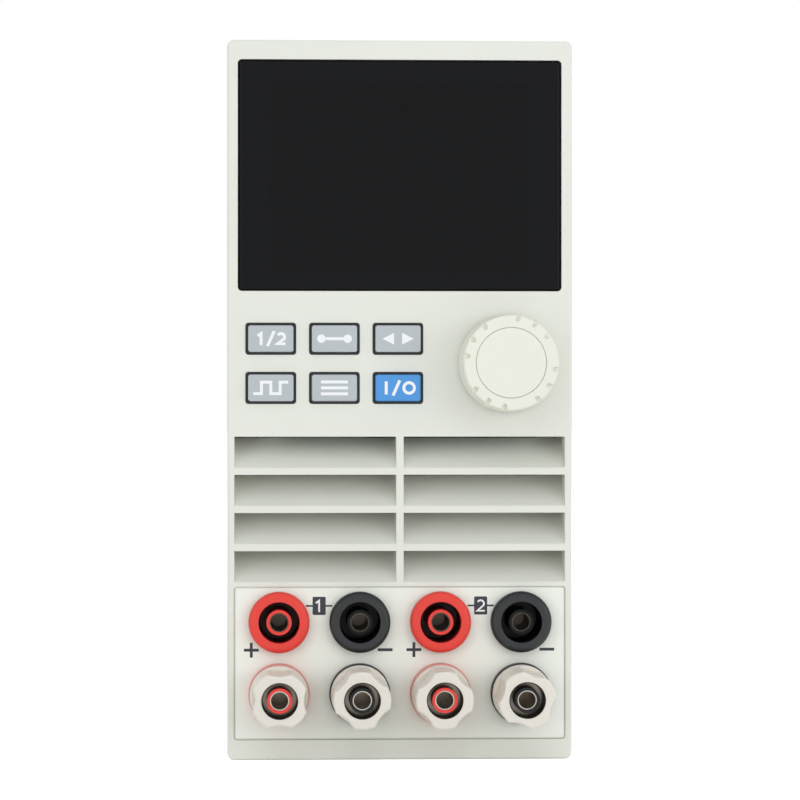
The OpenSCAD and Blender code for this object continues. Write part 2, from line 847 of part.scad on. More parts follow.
module front_subpanel() {
    color(zinc) placed() difference() {
        block([-in_x + sheet_t, bezel_d, sheet_t], [in_x, bezel_d + sheet_t, top_z]);
        block([-gate_half, bezel_d - 1, bus_z - 0.3],
            [gate_half, bezel_d + sheet_t + 1, socket_z + guard_half + 0.3]);
        block([-gate_half, bezel_d - 1, slot_z], [gate_half, bezel_d + sheet_t + 1, louvre_top + 1.65]);
        block([ribbon_x - 5, bezel_d - 1, ribbon_z - 4],
            [ribbon_x + 6, bezel_d + sheet_t + 1, ribbon_z + ribbon_w + 4]);
        for (x = [-block_x, block_x], z = block_z) rod(hole_r, x, z, bezel_d - 1, bezel_d + sheet_t + 1);
    }
}

// a flat-head screw hole or screw through a side wall, the head outward
module flat_head(r, head, length) {
    cylinder(r1 = head, r2 = r, h = flat_head_h);
    cylinder(r = r, h = length);
}

module at_cover_screws() {
    for (y = cover_y, z = tab_z) translate([-side_x, y, z]) rotate([0, 90, 0]) children();
}

module at_wall_screws() {
    for (p = standoffs) translate([side_x, p[0], p[1]]) rotate([0, -90, 0]) children();
}

module chassis_tray() {
    color(zinc) placed() difference() {
        union() {
            block([-in_x, bezel_d, 0], [side_x, rear_y, sheet_t]);
            block([-in_x, bezel_d, top_z], [side_x, rear_y, chassis_h]);
            block([in_x, bezel_d, 0], [side_x, rear_y, chassis_h]);
            block([-in_x, bezel_d, sheet_t / 2], [-in_x + sheet_t, lip_end, sheet_t + lip_w]);
            block([-in_x, bezel_d, top_z - lip_w], [-in_x + sheet_t, lip_end, chassis_h - sheet_t / 2]);
            // tabs that the rear panel is screwed to
            for (s = [-1, 1]) {
                block([s * tab_x - tab_w / 2, panel_y - sheet_t, sheet_t / 2],
                    [s * tab_x + tab_w / 2, panel_y, sheet_t + lip_w]);
                block([s * tab_x - tab_w / 2, panel_y - sheet_t, top_z - lip_w],
                    [s * tab_x + tab_w / 2, panel_y, chassis_h - sheet_t / 2]);
            }
        }
        at_cover_screws() cylinder(r = hole_r, h = cover_screw);
        at_wall_screws() flat_head(hole_r, flat_head_r + fit_gap, 4);
        for (s = [-1, 1], z = tab_z) rod(hole_r, s * tab_x, z, panel_y - 3, panel_y + 1);
    }
}

module side_cover() {
    color(zinc) placed() difference() {
        block([-side_x, bezel_d, 0], [-in_x, rear_y, chassis_h]);
        at_cover_screws() flat_head(hole_r, flat_head_r + fit_gap, 4);
    }
}

// the ring-shaped slots in front of a fan
module fan_guard() {
    difference() {
        for (i = [0 : 3]) difference() {
            circle(vent_first + vent_w + vent_pitch * i);
            circle(vent_first + vent_pitch * i);
        }
        for (a = [45, 135]) rotate(a) square([1.2 * fan_size, spoke_w], center = true);
    }
}

module rear_panel() {
    color(zinc) placed() difference() {
        block([-in_x, panel_y, sheet_t], [in_x, rear_y, top_z]);
        for (z = fan_z) {
            translate([0, 0, z]) slab(panel_y - 1, rear_y + 1) fan_guard();
            for (x = [-fan_hole, fan_hole], s = [-fan_hole, fan_hole])
                rod(hole_r, x, z + s, panel_y - 1, rear_y + 1);
        }
        block([-connector_w / 2 - 0.2, panel_y - 1, connector_z - connector_h / 2 - 0.2],
            [connector_w / 2 + 0.2, rear_y + 1, connector_z + connector_h / 2 + 0.2]);
        for (s = [-1, 1]) {
            rod(hole_r, s * ear_x, connector_z, panel_y - 1, rear_y + 1);
            rod(guide_body_r + fit_gap, s * bush_x, connector_z, panel_y - 1, rear_y + 1);
            rod(clinch_neck_r + fit_gap, s * bush_x, clinch_z, panel_y - 1, rear_y + 1);
            for (z = tab_z) rod(hole_r, s * tab_x, z, panel_y - 1, rear_y + 1);
        }
    }
}

// the extruded profile of a heat sink: two feet on the board, a base and its fins
module sink_profile() {
    x0 = board_x - sink_gap - sink_base;
    translate([x0, 0]) square([sink_base, sink_h]);
    for (z = [0, sink_h - sink_foot]) translate([x0, z]) square([board_x - x0, sink_foot]);
    for (i = [0 : fin_count - 1]) translate([fin_tip, i * fin_pitch]) square([x0 - fin_tip + 1, fin_t]);
}

module heat_sinks() {
    color(aluminium) placed() for (z = sink_z)
        translate([0, 0, z]) slab(sink_y, sink_y + sink_len) sink_profile();
}

module power_transistors() {
    step = (sink_len - 2 * case_first - case_l + 1) / 3;
    color(rubber_black) placed() for (z = sink_z, i = [0 : 3])
        translate([board_x, sink_y + case_first + i * step, z + sink_h / 2]) {
            block([-sink_gap, 0, -case_half], [case_t - sink_gap, case_l, case_half]);
            for (k = [-1 : 1]) block([leg_rise - sink_gap, -leg_out, leg_pitch * k - leg_half],
                [0, 0.5, leg_pitch * k + leg_half]);
        }
}

module power_board() {
    color(board_green) placed() difference() {
        block([board_x, power_y0, board_low], [board_x + board_t, power_y1, board_high]);
        for (p = standoffs)
            translate([board_x - 1, p[0], p[1]]) rotate([0, 90, 0]) cylinder(r = hole_r, h = board_t + 2);
    }
}

module board_standoffs() {
    color(brass) placed() for (p = standoffs)
        translate([board_x + board_t, p[0], p[1]]) rotate([0, 90, 0]) difference() {
            cylinder(r = standoff_r, h = standoff_h);
            translate([0, 0, -1]) cylinder(r = hole_r, h = standoff_h + 2);
        }
}

module capacitors() {
    color(key_blue) placed() for (z = [capacitor_low, capacitor_high], i = [0, 1])
        translate([board_x - capacitor_h, capacitor_y, z + i * capacitor_step]) rotate([0, 90, 0])
            cylinder(r = capacitor_r, h = capacitor_h);
}

module current_shunts() {
    color(copper) placed() for (z = [shunt_low, shunt_high]) translate([board_x, shunt_y, z]) {
        block([-sink_gap, 0, -shunt_half], [shunt_t - sink_gap, shunt_w, shunt_half]);
        for (s = [-1, 1])
            block([-sink_gap, 0, s * (shunt_half - 1) - 1], [0, shunt_w, s * (shunt_half - 1) + 1]);
    }
}

module fan_frames() {
    color(rubber_black) placed() for (z = fan_z) difference() {
        union() {
            difference() {
                plate(fan_size, fan_size, 3, 0, z, fan_y, panel_y);
                rod(duct_r, 0, z, fan_y - 1, panel_y + 1);
            }
            rod(motor_r, 0, z, panel_y - strut_t, panel_y);
            rod(bearing_r, 0, z, fan_y + 5.2, panel_y - 2);
            for (a = [0, 90]) translate([0, 0, z]) rotate([0, a, 0])
                block([-duct_r - 0.8, panel_y - strut_t, -strut_t / 2], [duct_r + 0.8, panel_y, strut_t / 2]);
        }
        rod(fan_shaft_r + run_gap, 0, z, fan_y, panel_y - 2);
        for (x = [-fan_hole, fan_hole], s = [-fan_hole, fan_hole])
            rod(hole_r, x, z + s, fan_y - 1, panel_y + 1);
    }
}

// a fan wheel: hub, shaft and seven pitched blades
module fan_impeller(z) {
    tip = duct_r - 1;
    color(rubber_black) placed() translate([0, 0, z]) {
        difference() {
            rod(hub_r, 0, 0, fan_y + 1.2, panel_y - strut_t - 1.3);
            rod(hub_in_r, 0, 0, fan_y + 3.2, panel_y);
        }
        rod(fan_shaft_r, 0, 0, fan_y + 3, fan_y + 17);
        intersection() {
            for (k = [0 : 6]) rotate([0, k * 360 / 7, 0])
                translate([0, (fan_y + panel_y - 4) / 2, hub_r - 1]) rotate([0, 0, 42])
                    block([-11, -0.75, 0], [11, 0.75, duct_r - hub_r + 4.5]);
            difference() {
                rod(tip, 0, 0, fan_y + 1.5, panel_y - strut_t - 1.5);
                rod(hub_r - 0.5, 0, 0, fan_y, panel_y);
            }
        }
    }
}

module fan_impeller_lower() { fan_impeller(fan_z[0]); }
module fan_impeller_upper() { fan_impeller(fan_z[1]); }

module rear_connector() {
    w = connector_w / 2;
    h = connector_h / 2;
    color(signal_black) placed() translate([0, 0, connector_z]) difference() {
        union() {
            block([-w, rear_y - connector_in, -h], [w, rear_y + connector_out, h]);
            block([-ear_half, rear_y, -h - ear_edge], [ear_half, rear_y + ear_t, h + ear_edge]);
        }
        block([-w + connector_wall, rear_y + 2, -h + connector_wall],
            [w - connector_wall, rear_y + connector_out + 1, h - connector_wall]);
        for (s = [-1, 1]) rod(hole_r, s * ear_x, 0, rear_y - 1, rear_y + 3);
    }
}

module guide_bushes() {
    color(brass) placed() for (s = [-1, 1]) difference() {
        union() {
            rod(guide_body_r, s * bush_x, connector_z, rear_y - guide_len, rear_y + 1);
            rod(guide_rim_r, s * bush_x, connector_z, rear_y, rear_y + guide_rim_t);
        }
        rod(guide_r, s * bush_x, connector_z, rear_y - guide_len - 1, rear_y + guide_rim_t + 1);
    }
}

module clinch_nuts() {
    color(nickel) placed() for (s = [-1, 1]) difference() {
        union() {
            rod(clinch_body_r, s * bush_x, clinch_z, panel_y - clinch_len, panel_y);
            rod(clinch_neck_r, s * bush_x, clinch_z, panel_y - 1, rear_y);
        }
        rod(clinch_r, s * bush_x, clinch_z, panel_y - clinch_len - 1, rear_y + 1);
    }
}

// flat cables: control board to power board, and power board to rear connector
module ribbon_cables() {
    color(key_grey) placed() {
        front_end = power_y0 + ribbon_front;
        rear_end = power_y1 - ribbon_rear;
        half = connector_h / 2 - 1;
        block([ribbon_x, board_y + board_t, ribbon_z],
            [ribbon_x + ribbon_t, front_end, ribbon_z + ribbon_w]);
        block([ribbon_x, front_end - ribbon_t, ribbon_z], [board_x, front_end, ribbon_z + ribbon_w]);
        block([ribbon_rear_x, rear_end, connector_z - half],
            [ribbon_rear_x + ribbon_t, rear_y - connector_in, connector_z + half]);
        block([ribbon_rear_x, rear_end, connector_z - half], [board_x, rear_end + ribbon_t, connector_z + half]);
    }
}

module flat_head_screws() {
    color(nickel) placed() {
        at_cover_screws() flat_head(screw_r, flat_head_r, cover_screw);
        at_wall_screws() flat_head(screw_r, flat_head_r, wall_screw);
    }
}

// a pan-head screw along +Z, the head below the origin
module pan_head(length) {
    translate([0, 0, -head_h]) cylinder(r = head_r, h = head_h);
    cylinder(r = screw_r, h = length);
}

module pan_head_screws() {
    color(nickel) placed() {
        for (x = [-fan_hole, fan_hole], z = fan_z, s = [-fan_hole, fan_hole])
            translate([x, rear_y, z + s]) rotate([90, 0, 0]) pan_head(fan_screw);
        for (s = [-1, 1], z = tab_z)
            translate([s * tab_x, rear_y, z]) rotate([90, 0, 0]) pan_head(tab_screw);
        for (s = [-1, 1])
            translate([s * ear_x, rear_y + ear_t, connector_z]) rotate([90, 0, 0]) pan_head(ear_screw_len);
        for (p = standoffs) translate([board_x, p[0], p[1]]) rotate([0, 90, 0]) pan_head(board_screw);
    }
}

module tapping_screws() {
    color(nickel) placed() {
        for (x = [-boss_x, boss_x], z = boss_z) {
            rod(2.2, x, z, board_y + board_t, board_y + board_t + 1.6);
            rod(1, x, z, board_y - 4, board_y + board_t + 1);
        }
        for (x = [-block_x, block_x], z = block_z) {
            rod(2.6, x, z, bezel_d + sheet_t, bezel_d + sheet_t + 1.8);
            rod(1.2, x, z, bezel_d - 6, bezel_d + sheet_t + 1);
        }
    }
}

front_bezel();
display_window();
display_module();
control_board();
keypad_frame();
tact_switches();
key_channel();
key_short();
key_cursor();
key_pulse();
key_mode();
key_on_off();
encoder_body();
encoder_nut();
encoder_plunger();
encoder_shaft();
knob();
knob_cap();
terminal_plate();
socket_housings_red();
socket_housings_black();
socket_contacts();
sleeves_red();
sleeves_black();
terminal_nuts();
post_bases_red();
post_bases_black();
post_studs();
post_collar_1();
post_collar_2();
post_collar_3();
post_collar_4();
post_nut_1();
post_nut_2();
post_nut_3();
post_nut_4();
bus_nuts();
bus_bars();
sense_leads();
front_subpanel();
chassis_tray();
side_cover();
rear_panel();
heat_sinks();
power_transistors();
power_board();
board_standoffs();
capacitors();
current_shunts();
fan_frames();
fan_impeller_lower();
fan_impeller_upper();
rear_connector();
guide_bushes();
clinch_nuts();
ribbon_cables();
flat_head_screws();
pan_head_screws();
tapping_screws();
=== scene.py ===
"""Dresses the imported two-channel dc electronic load module and sets up its studio picture."""

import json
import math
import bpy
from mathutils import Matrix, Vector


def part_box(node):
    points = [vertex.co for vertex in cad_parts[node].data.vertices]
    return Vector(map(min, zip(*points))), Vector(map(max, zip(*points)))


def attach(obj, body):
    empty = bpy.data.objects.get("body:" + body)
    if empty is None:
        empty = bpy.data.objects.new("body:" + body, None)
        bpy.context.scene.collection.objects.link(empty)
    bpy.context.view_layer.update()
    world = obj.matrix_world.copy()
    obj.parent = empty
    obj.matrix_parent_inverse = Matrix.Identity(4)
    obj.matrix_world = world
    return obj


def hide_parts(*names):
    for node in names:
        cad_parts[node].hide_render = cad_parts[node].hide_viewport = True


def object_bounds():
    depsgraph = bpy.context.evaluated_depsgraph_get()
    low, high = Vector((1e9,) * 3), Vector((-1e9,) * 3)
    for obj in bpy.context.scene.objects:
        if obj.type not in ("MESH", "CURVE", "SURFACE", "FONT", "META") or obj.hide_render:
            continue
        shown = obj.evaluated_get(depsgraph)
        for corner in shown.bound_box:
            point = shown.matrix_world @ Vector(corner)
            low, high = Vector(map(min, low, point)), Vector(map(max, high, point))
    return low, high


bl_info = {
    "name": "DC electronic load module",
    "version": (1, 0, 0),
    "blender": (4, 5, 0),
    "location": "View3D > Sidebar > Load module",
    "description": "Finishes the packed load module, piece by piece, and sets its stage",
    "category": "Object",
}

import bmesh
import bpy
from bpy.props import FloatProperty, FloatVectorProperty, IntProperty, PointerProperty
from mathutils import Vector

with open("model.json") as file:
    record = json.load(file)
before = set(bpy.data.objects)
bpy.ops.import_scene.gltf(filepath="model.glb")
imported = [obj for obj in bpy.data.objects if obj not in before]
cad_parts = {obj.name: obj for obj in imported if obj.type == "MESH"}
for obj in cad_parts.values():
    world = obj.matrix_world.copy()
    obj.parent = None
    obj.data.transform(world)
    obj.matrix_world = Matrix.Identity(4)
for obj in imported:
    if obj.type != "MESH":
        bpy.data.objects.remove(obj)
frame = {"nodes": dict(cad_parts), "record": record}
CAD_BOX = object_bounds()
MM = 0.001
KEYS = ("key_channel", "key_short", "key_cursor", "key_pulse", "key_mode", "key_on_off")
POSTS = (1, 2, 3, 4)
# edges sharper than this are rounded, and break the smooth shading
SHARP_DEGREES = 35
# what Blender's wave texture needs of its scaled coordinate to repeat once
WAVE_REPEAT = 2 * math.pi / 20


def linear(code):
    """Linear colour of an sRGB hex value."""
    channels = [int(code[i:i + 2], 16) / 255 for i in (1, 3, 5)]
    return tuple(c / 12.92 if c <= 0.04045 else ((c + 0.055) / 1.055) ** 2.4 for c in channels)


def colour(name, description, code):
    """A colour setting whose default is an sRGB hex value."""
    return FloatVectorProperty(name=name, description=description, subtype="COLOR", size=3, min=0, max=1,
                               default=linear(code))


def length(name, description, millimetres):
    """A length setting whose default is given in millimetres."""
    return FloatProperty(name=name, description=description, unit="LENGTH", precision=5,
                         default=millimetres * MM)


class LoadColours(bpy.types.PropertyGroup):
    """Colours of the module's finishes."""

    bezel: colour("Bezel", "Moulded front bezel", "#E9EAE0")
    plate: colour("Terminal plate", "Plate that carries the sockets and posts", "#F6F8EE")
    knob: colour("Knob", "Knob and its cap", "#EDEDDF")
    window: colour("Window", "Printed back of the display window", "#0E0F12")
    screen: colour("Screen", "Dark display seen through the window", "#0B0C0E")
    key_grey: colour("Grey keys", "Five of the six keys", "#BAC1C4")
    key_blue: colour("Blue key", "The key that switches the load on and off", "#4A98DF")
    key_rim: colour("Key rims", "Silicone frame round the keys", "#131417")
    red: colour("Red terminals", "Positive sockets and posts", "#EB4338")
    black: colour("Black terminals", "Negative sockets and posts", "#26282B")
    nut: colour("Post nuts", "Nuts and clamp collars of the posts", "#E9E3D8")
    white_ink: colour("White print", "Signs on the keys and numbers in the dark boxes", "#F7F8FA")
    dark_ink: colour("Dark print", "Signs on the terminal plate", "#282D35")


class LoadSizes(bpy.types.PropertyGroup):
    """Sizes of the finishing details and of the picture."""

    bezel_edge: length("Bezel edge", "Rounding of the bezel's edges", 0.35)
    plastic_edge: length("Plastic edge", "Rounding of the smaller plastic pieces' edges", 0.2)
    key_edge: length("Key edge", "Rounding of the keys' faces", 0.45)
    keypad_edge: length("Keypad edge", "Rounding of the frame round the keys", 0.1)
    cap_edge: length("Cap edge", "Rounding of the knob's cap", 0.3)
    fan_edge: length("Fan edge", "Rounding of the fans' frames and blades", 0.15)
    metal_edge: length("Metal edge", "Broken edge of turned and cut metal", 0.12)
    nut_edge: length("Nut edge", "Rounding of the clamp nuts' fluted rim", 0.6)
    screen_width: length("Screen width", "Width of the dark screen behind the window", 61)
    screen_height: length("Screen height", "Height of the dark screen behind the window", 45.2)
    screen_drop: length("Screen drop", "How far the screen sits below the window's middle", 0.5)
    print_height: length("Print height", "Thickness of the printed ink", 0.02)
    sign_size: length("Sign size", "Width of the plus and minus signs", 3.5)
    sign_stroke: length("Sign stroke", "Stroke of the plus and minus signs", 0.68)
    key_stroke: length("Key sign stroke", "Stroke of the signs on the keys", 0.7)
    box_width: length("Box width", "Width of the dark box round a channel number", 3.1)
    box_height: length("Box height", "Height of the dark box round a channel number", 4.3)
    digit_height: length("Digit height", "Height of a channel number", 2.9)
    digit_stroke: length("Digit stroke", "Stroke of a channel number", 0.42)
    insert_radius: length("Insert radius", "Outer radius of the metal liner in a clamp nut", 4.24)
    insert_depth: length("Insert depth", "How far the liner reaches into a clamp nut", 8.2)
    pin_pitch: length("Pin pitch", "Spacing of the rear connector's pins", 2.54)
    pin_width: length("Pin width", "Width of the rear connector's square pins", 0.64)
    pin_reach: length("Pin reach", "How far a pin stands out of the connector's floor", 5)
    pin_recess: length("Pin recess", "How deep the connector's floor lies behind its rim", 8)
    pin_columns: IntProperty(name="Pin columns", description="Pins in each row of the rear connector",
                             default=13)
    pin_rows: IntProperty(name="Pin rows", description="Rows of pins in the rear connector", default=3)
    camera_distance: length("Camera distance", "Distance from the camera to the panel", 780)
    camera_side: length("Camera side", "How far the camera stands to the left", -35)
    picture_width: length("Picture width", "Width of the picture at the panel", 188.8)


def settings():
    """The colours and sizes in use."""
    return bpy.context.scene.load_colours, bpy.context.scene.load_sizes


def add(tree, kind, values=None, links=None, **attributes):
    """Adds a node with its attributes, socket values and incoming links."""
    node = tree.nodes.new(kind)
    for name, value in attributes.items():
        setattr(node, name, value)
    for name, value in (values or {}).items():
        node.inputs[name].default_value = value
    for name, socket in (links or {}).items():
        tree.links.new(socket, node.inputs[name])
    return node


def start_material(name, **shader_values):
    """An empty material with its shader and its Object coordinates."""
    material = bpy.data.materials.new(name)
    material.use_nodes = True
    tree = material.node_tree
    tree.nodes.clear()
    shader = add(tree, "ShaderNodeBsdfPrincipled", {k.replace("_", " "): v for k, v in shader_values.items()})
    add(tree, "ShaderNodeOutputMaterial", links={"Surface": shader.outputs["BSDF"]})
    place = add(tree, "ShaderNodeTexCoord").outputs["Object"]
    return material, tree, shader, place


def per_mm(millimetres):
    """Texture scale for features of that size, on coordinates in metres."""
    return 1 / (millimetres * MM)


def vary_surface(tree, shader, tone, colours, gloss, roughness):
    """Lets one pattern vary a surface between two colours, and another one between two roughnesses."""
    # a noise seldom leaves the middle of its range, so the colours change over that part
    share = add(tree, "ShaderNodeMapRange", {"From Min": 0.3, "From Max": 0.7}, {"Value": tone})
    mixed = add(tree, "ShaderNodeMix", {"A": (*colours[0], 1), "B": (*colours[1], 1)},
                {"Factor": share.outputs["Result"]}, data_type="RGBA")
    dulled = add(tree, "ShaderNodeMapRange", {"To Min": roughness[0], "To Max": roughness[1]},
                 {"Value": gloss})
    tree.links.new(mixed.outputs["Result"], shader.inputs["Base Color"])
    tree.links.new(dulled.outputs["Result"], shader.inputs["Roughness"])
    return mixed.outputs["Result"]


def darker(rgb, share):
    """The same hue at a share of its brightness."""
    return tuple(c * share for c in rgb)


def painted_depth_shade(tree, place, socket, rgb, run):
    """Painted shade in recesses: a node socket's colour turns to a shade colour between two depths, in
    millimetres along Y.
    """
    depth = add(tree, "ShaderNodeSeparateXYZ", links={"Vector": place}).outputs["Y"]
    share = add(tree, "ShaderNodeMapRange", {"From Min": run[0] * MM, "From Max": run[1] * MM},
                {"Value": depth})
    mixed = add(tree, "ShaderNodeMix", {"B": (*rgb, 1)}, {"Factor": share.outputs["Result"], "A": socket},
                data_type="RGBA")
    return mixed.outputs["Result"]


def moulded_plastic(name, rgb, roughness=0.45, grain=0.5, depth=0.02, mottle=0.965, inner=None,
                    **shader_values):
    """Injection-moulded plastic: spark-eroded grain breaks the gloss, and the flow leaves a faint mottle."""
    material, tree, shader, place = start_material(name, IOR=1.5, **shader_values)
    flow = add(tree, "ShaderNodeTexNoise", {"Scale": per_mm(30), "Detail": 3.0},
               {"Vector": place}).outputs["Fac"]
    spark = add(tree, "ShaderNodeTexNoise", {"Scale": per_mm(grain), "Detail": 2.0},
                {"Vector": place}).outputs["Fac"]
    tone = vary_surface(tree, shader, flow, (darker(rgb, mottle), rgb),
                        spark, (roughness - 0.07, roughness + 0.07))
    # painted shade: with inner, the colour turns to a shade colour with depth along Y, as in a recess that
    # light hardly reaches
    if inner:
        tree.links.new(painted_depth_shade(tree, place, tone, *inner), shader.inputs["Base Color"])
    bump = add(tree, "ShaderNodeBump", {"Strength": 0.25, "Distance": depth * MM}, {"Height": spark})
    tree.links.new(bump.outputs["Normal"], shader.inputs["Normal"])
    return material


def plated_metal(name, rgb, roughness=0.25, ring=1.885, depth=0.006, inner=None):
    """Turned and plated metal: tool rings round the axis, under a bright plating that dulls in patches."""
    material, tree, shader, place = start_material(name, Metallic=1.0)
    patch = add(tree, "ShaderNodeTexNoise", {"Scale": per_mm(4), "Detail": 4.0},
                {"Vector": place}).outputs["Fac"]
    # the real rings are about a tenth of a millimetre apart: drawn coarser so that they show
    tool = add(tree, "ShaderNodeTexWave", {"Scale": WAVE_REPEAT * per_mm(ring), "Distortion": 1.5,
               "Detail": 2.0}, {"Vector": place}, bands_direction="Y").outputs["Fac"]
    tone = vary_surface(tree, shader, patch, (darker(rgb, 0.86), rgb),
                        patch, (roughness - 0.06, roughness + 0.1))
    # painted shade: with inner, the colour turns to a shade colour with depth along Y, as in a bore that
    # light hardly reaches
    if inner:
        tree.links.new(painted_depth_shade(tree, place, tone, *inner), shader.inputs["Base Color"])
    bump = add(tree, "ShaderNodeBump", {"Strength": 0.15, "Distance": depth * MM}, {"Height": tool})
    tree.links.new(bump.outputs["Normal"], shader.inputs["Normal"])
    return material


def galvanised_steel():
    """Electro-galvanised sheet: a dull even grey, with fine rolling lines and cloudy patches in the zinc."""
    material, tree, shader, place = start_material("galvanised_steel", Metallic=1.0)
    cloud = add(tree, "ShaderNodeTexNoise", {"Scale": per_mm(45), "Detail": 5.0, "Roughness": 0.6},
                {"Vector": place}).outputs["Fac"]
    rolled = add(tree, "ShaderNodeMapping", {"Scale": (1, 0.03, 1)}, {"Vector": place}).outputs["Vector"]
    # the real lines are finer than a tenth of a millimetre: drawn at 1.2 mm so that they show
    lines = add(tree, "ShaderNodeTexNoise", {"Scale": per_mm(1.2), "Detail": 3.0},
                {"Vector": rolled}).outputs["Fac"]
    mixed = add(tree, "ShaderNodeMath", links={0: cloud, 1: lines}, operation="ADD").outputs["Value"]
    half = add(tree, "ShaderNodeMath", {1: 0.5}, {0: mixed}, operation="MULTIPLY").outputs["Value"]
    vary_surface(tree, shader, half, (linear("#8C9093"), linear("#A7AAAC")), half, (0.36, 0.58))
    bump = add(tree, "ShaderNodeBump", {"Strength": 0.15, "Distance": 0.02 * MM}, {"Height": lines})
    tree.links.new(bump.outputs["Normal"], shader.inputs["Normal"])
    return material


def extruded_aluminium():
    """Extruded aluminium: die lines along the length, in a soft satin."""
    material, tree, shader, place = start_material("extruded_aluminium", Metallic=1.0)
    along = add(tree, "ShaderNodeMapping", {"Scale": (1, 0.02, 1)}, {"Vector": place}).outputs["Vector"]
    die = add(tree, "ShaderNodeTexNoise", {"Scale": per_mm(0.6), "Detail": 3.0},
              {"Vector": along}).outputs["Fac"]
    vary_surface(tree, shader, die, (linear("#B4B7BA"), linear("#D6D8DA")), die, (0.28, 0.46))
    bump = add(tree, "ShaderNodeBump", {"Strength": 0.2, "Distance": 0.02 * MM}, {"Height": die})
    tree.links.new(bump.outputs["Normal"], shader.inputs["Normal"])
    return material


def circuit_board():
    """Glass-epoxy board under green solder mask: copper runs show as lighter squares and lines."""
    material, tree, shader, place = start_material("circuit_board", IOR=1.5)
    copper = add(tree, "ShaderNodeTexBrick", {"Scale": per_mm(5), "Mortar Size": 0.04, "Color1": (0, 0, 0, 1),
                 "Color2": (0.3, 0.3, 0.3, 1), "Mortar": (1, 1, 1, 1)}, {"Vector": place}).outputs["Color"]
    cloth = add(tree, "ShaderNodeTexNoise", {"Scale": per_mm(0.7), "Detail": 2.0},
                {"Vector": place}).outputs["Fac"]
    vary_surface(tree, shader, copper, (linear("#0F5A37"), linear("#2C8A57")), cloth, (0.3, 0.45))
    return material


def window_acrylic():
    """Hard-coated acrylic, printed black on its back: deep and glossy, with the dark screen just visible."""
    colours, sizes = settings()
    material, tree, shader, place = start_material("window_acrylic", IOR=1.49, Specular_IOR_Level=0.13)
    low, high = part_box("display_window")
    centre = (Vector(low) + Vector(high)) / 2
    axes = add(tree, "ShaderNodeSeparateXYZ", links={"Vector": place})
    inside = []
    for axis, middle, half in (("X", centre.x, sizes.screen_width / 2),
                               ("Z", centre.z - sizes.screen_drop, sizes.screen_height / 2)):
        near = add(tree, "ShaderNodeMath", {1: middle, 2: half}, {0: axes.outputs[axis]}, operation="COMPARE")
        inside.append(near.outputs["Value"])
    screen = add(tree, "ShaderNodeMath", links={0: inside[0], 1: inside[1]},
                 operation="MULTIPLY").outputs["Value"]
    haze = add(tree, "ShaderNodeTexNoise", {"Scale": per_mm(12), "Detail": 3.0},
               {"Vector": place}).outputs["Fac"]
    vary_surface(tree, shader, screen, (colours.window, colours.screen), haze, (0.10, 0.16))
    return material


def printed_ink(name, rgb):
    """Screen-printed ink: flat and even, with the weave of the screen just breaking its gloss."""
    material, tree, shader, place = start_material(name, IOR=1.5)
    screen = add(tree, "ShaderNodeTexNoise", {"Scale": per_mm(0.25), "Detail": 1.0},
                 {"Vector": place}).outputs["Fac"]
    vary_surface(tree, shader, screen, (darker(rgb, 0.95), rgb), screen, (0.45, 0.6))
    return material


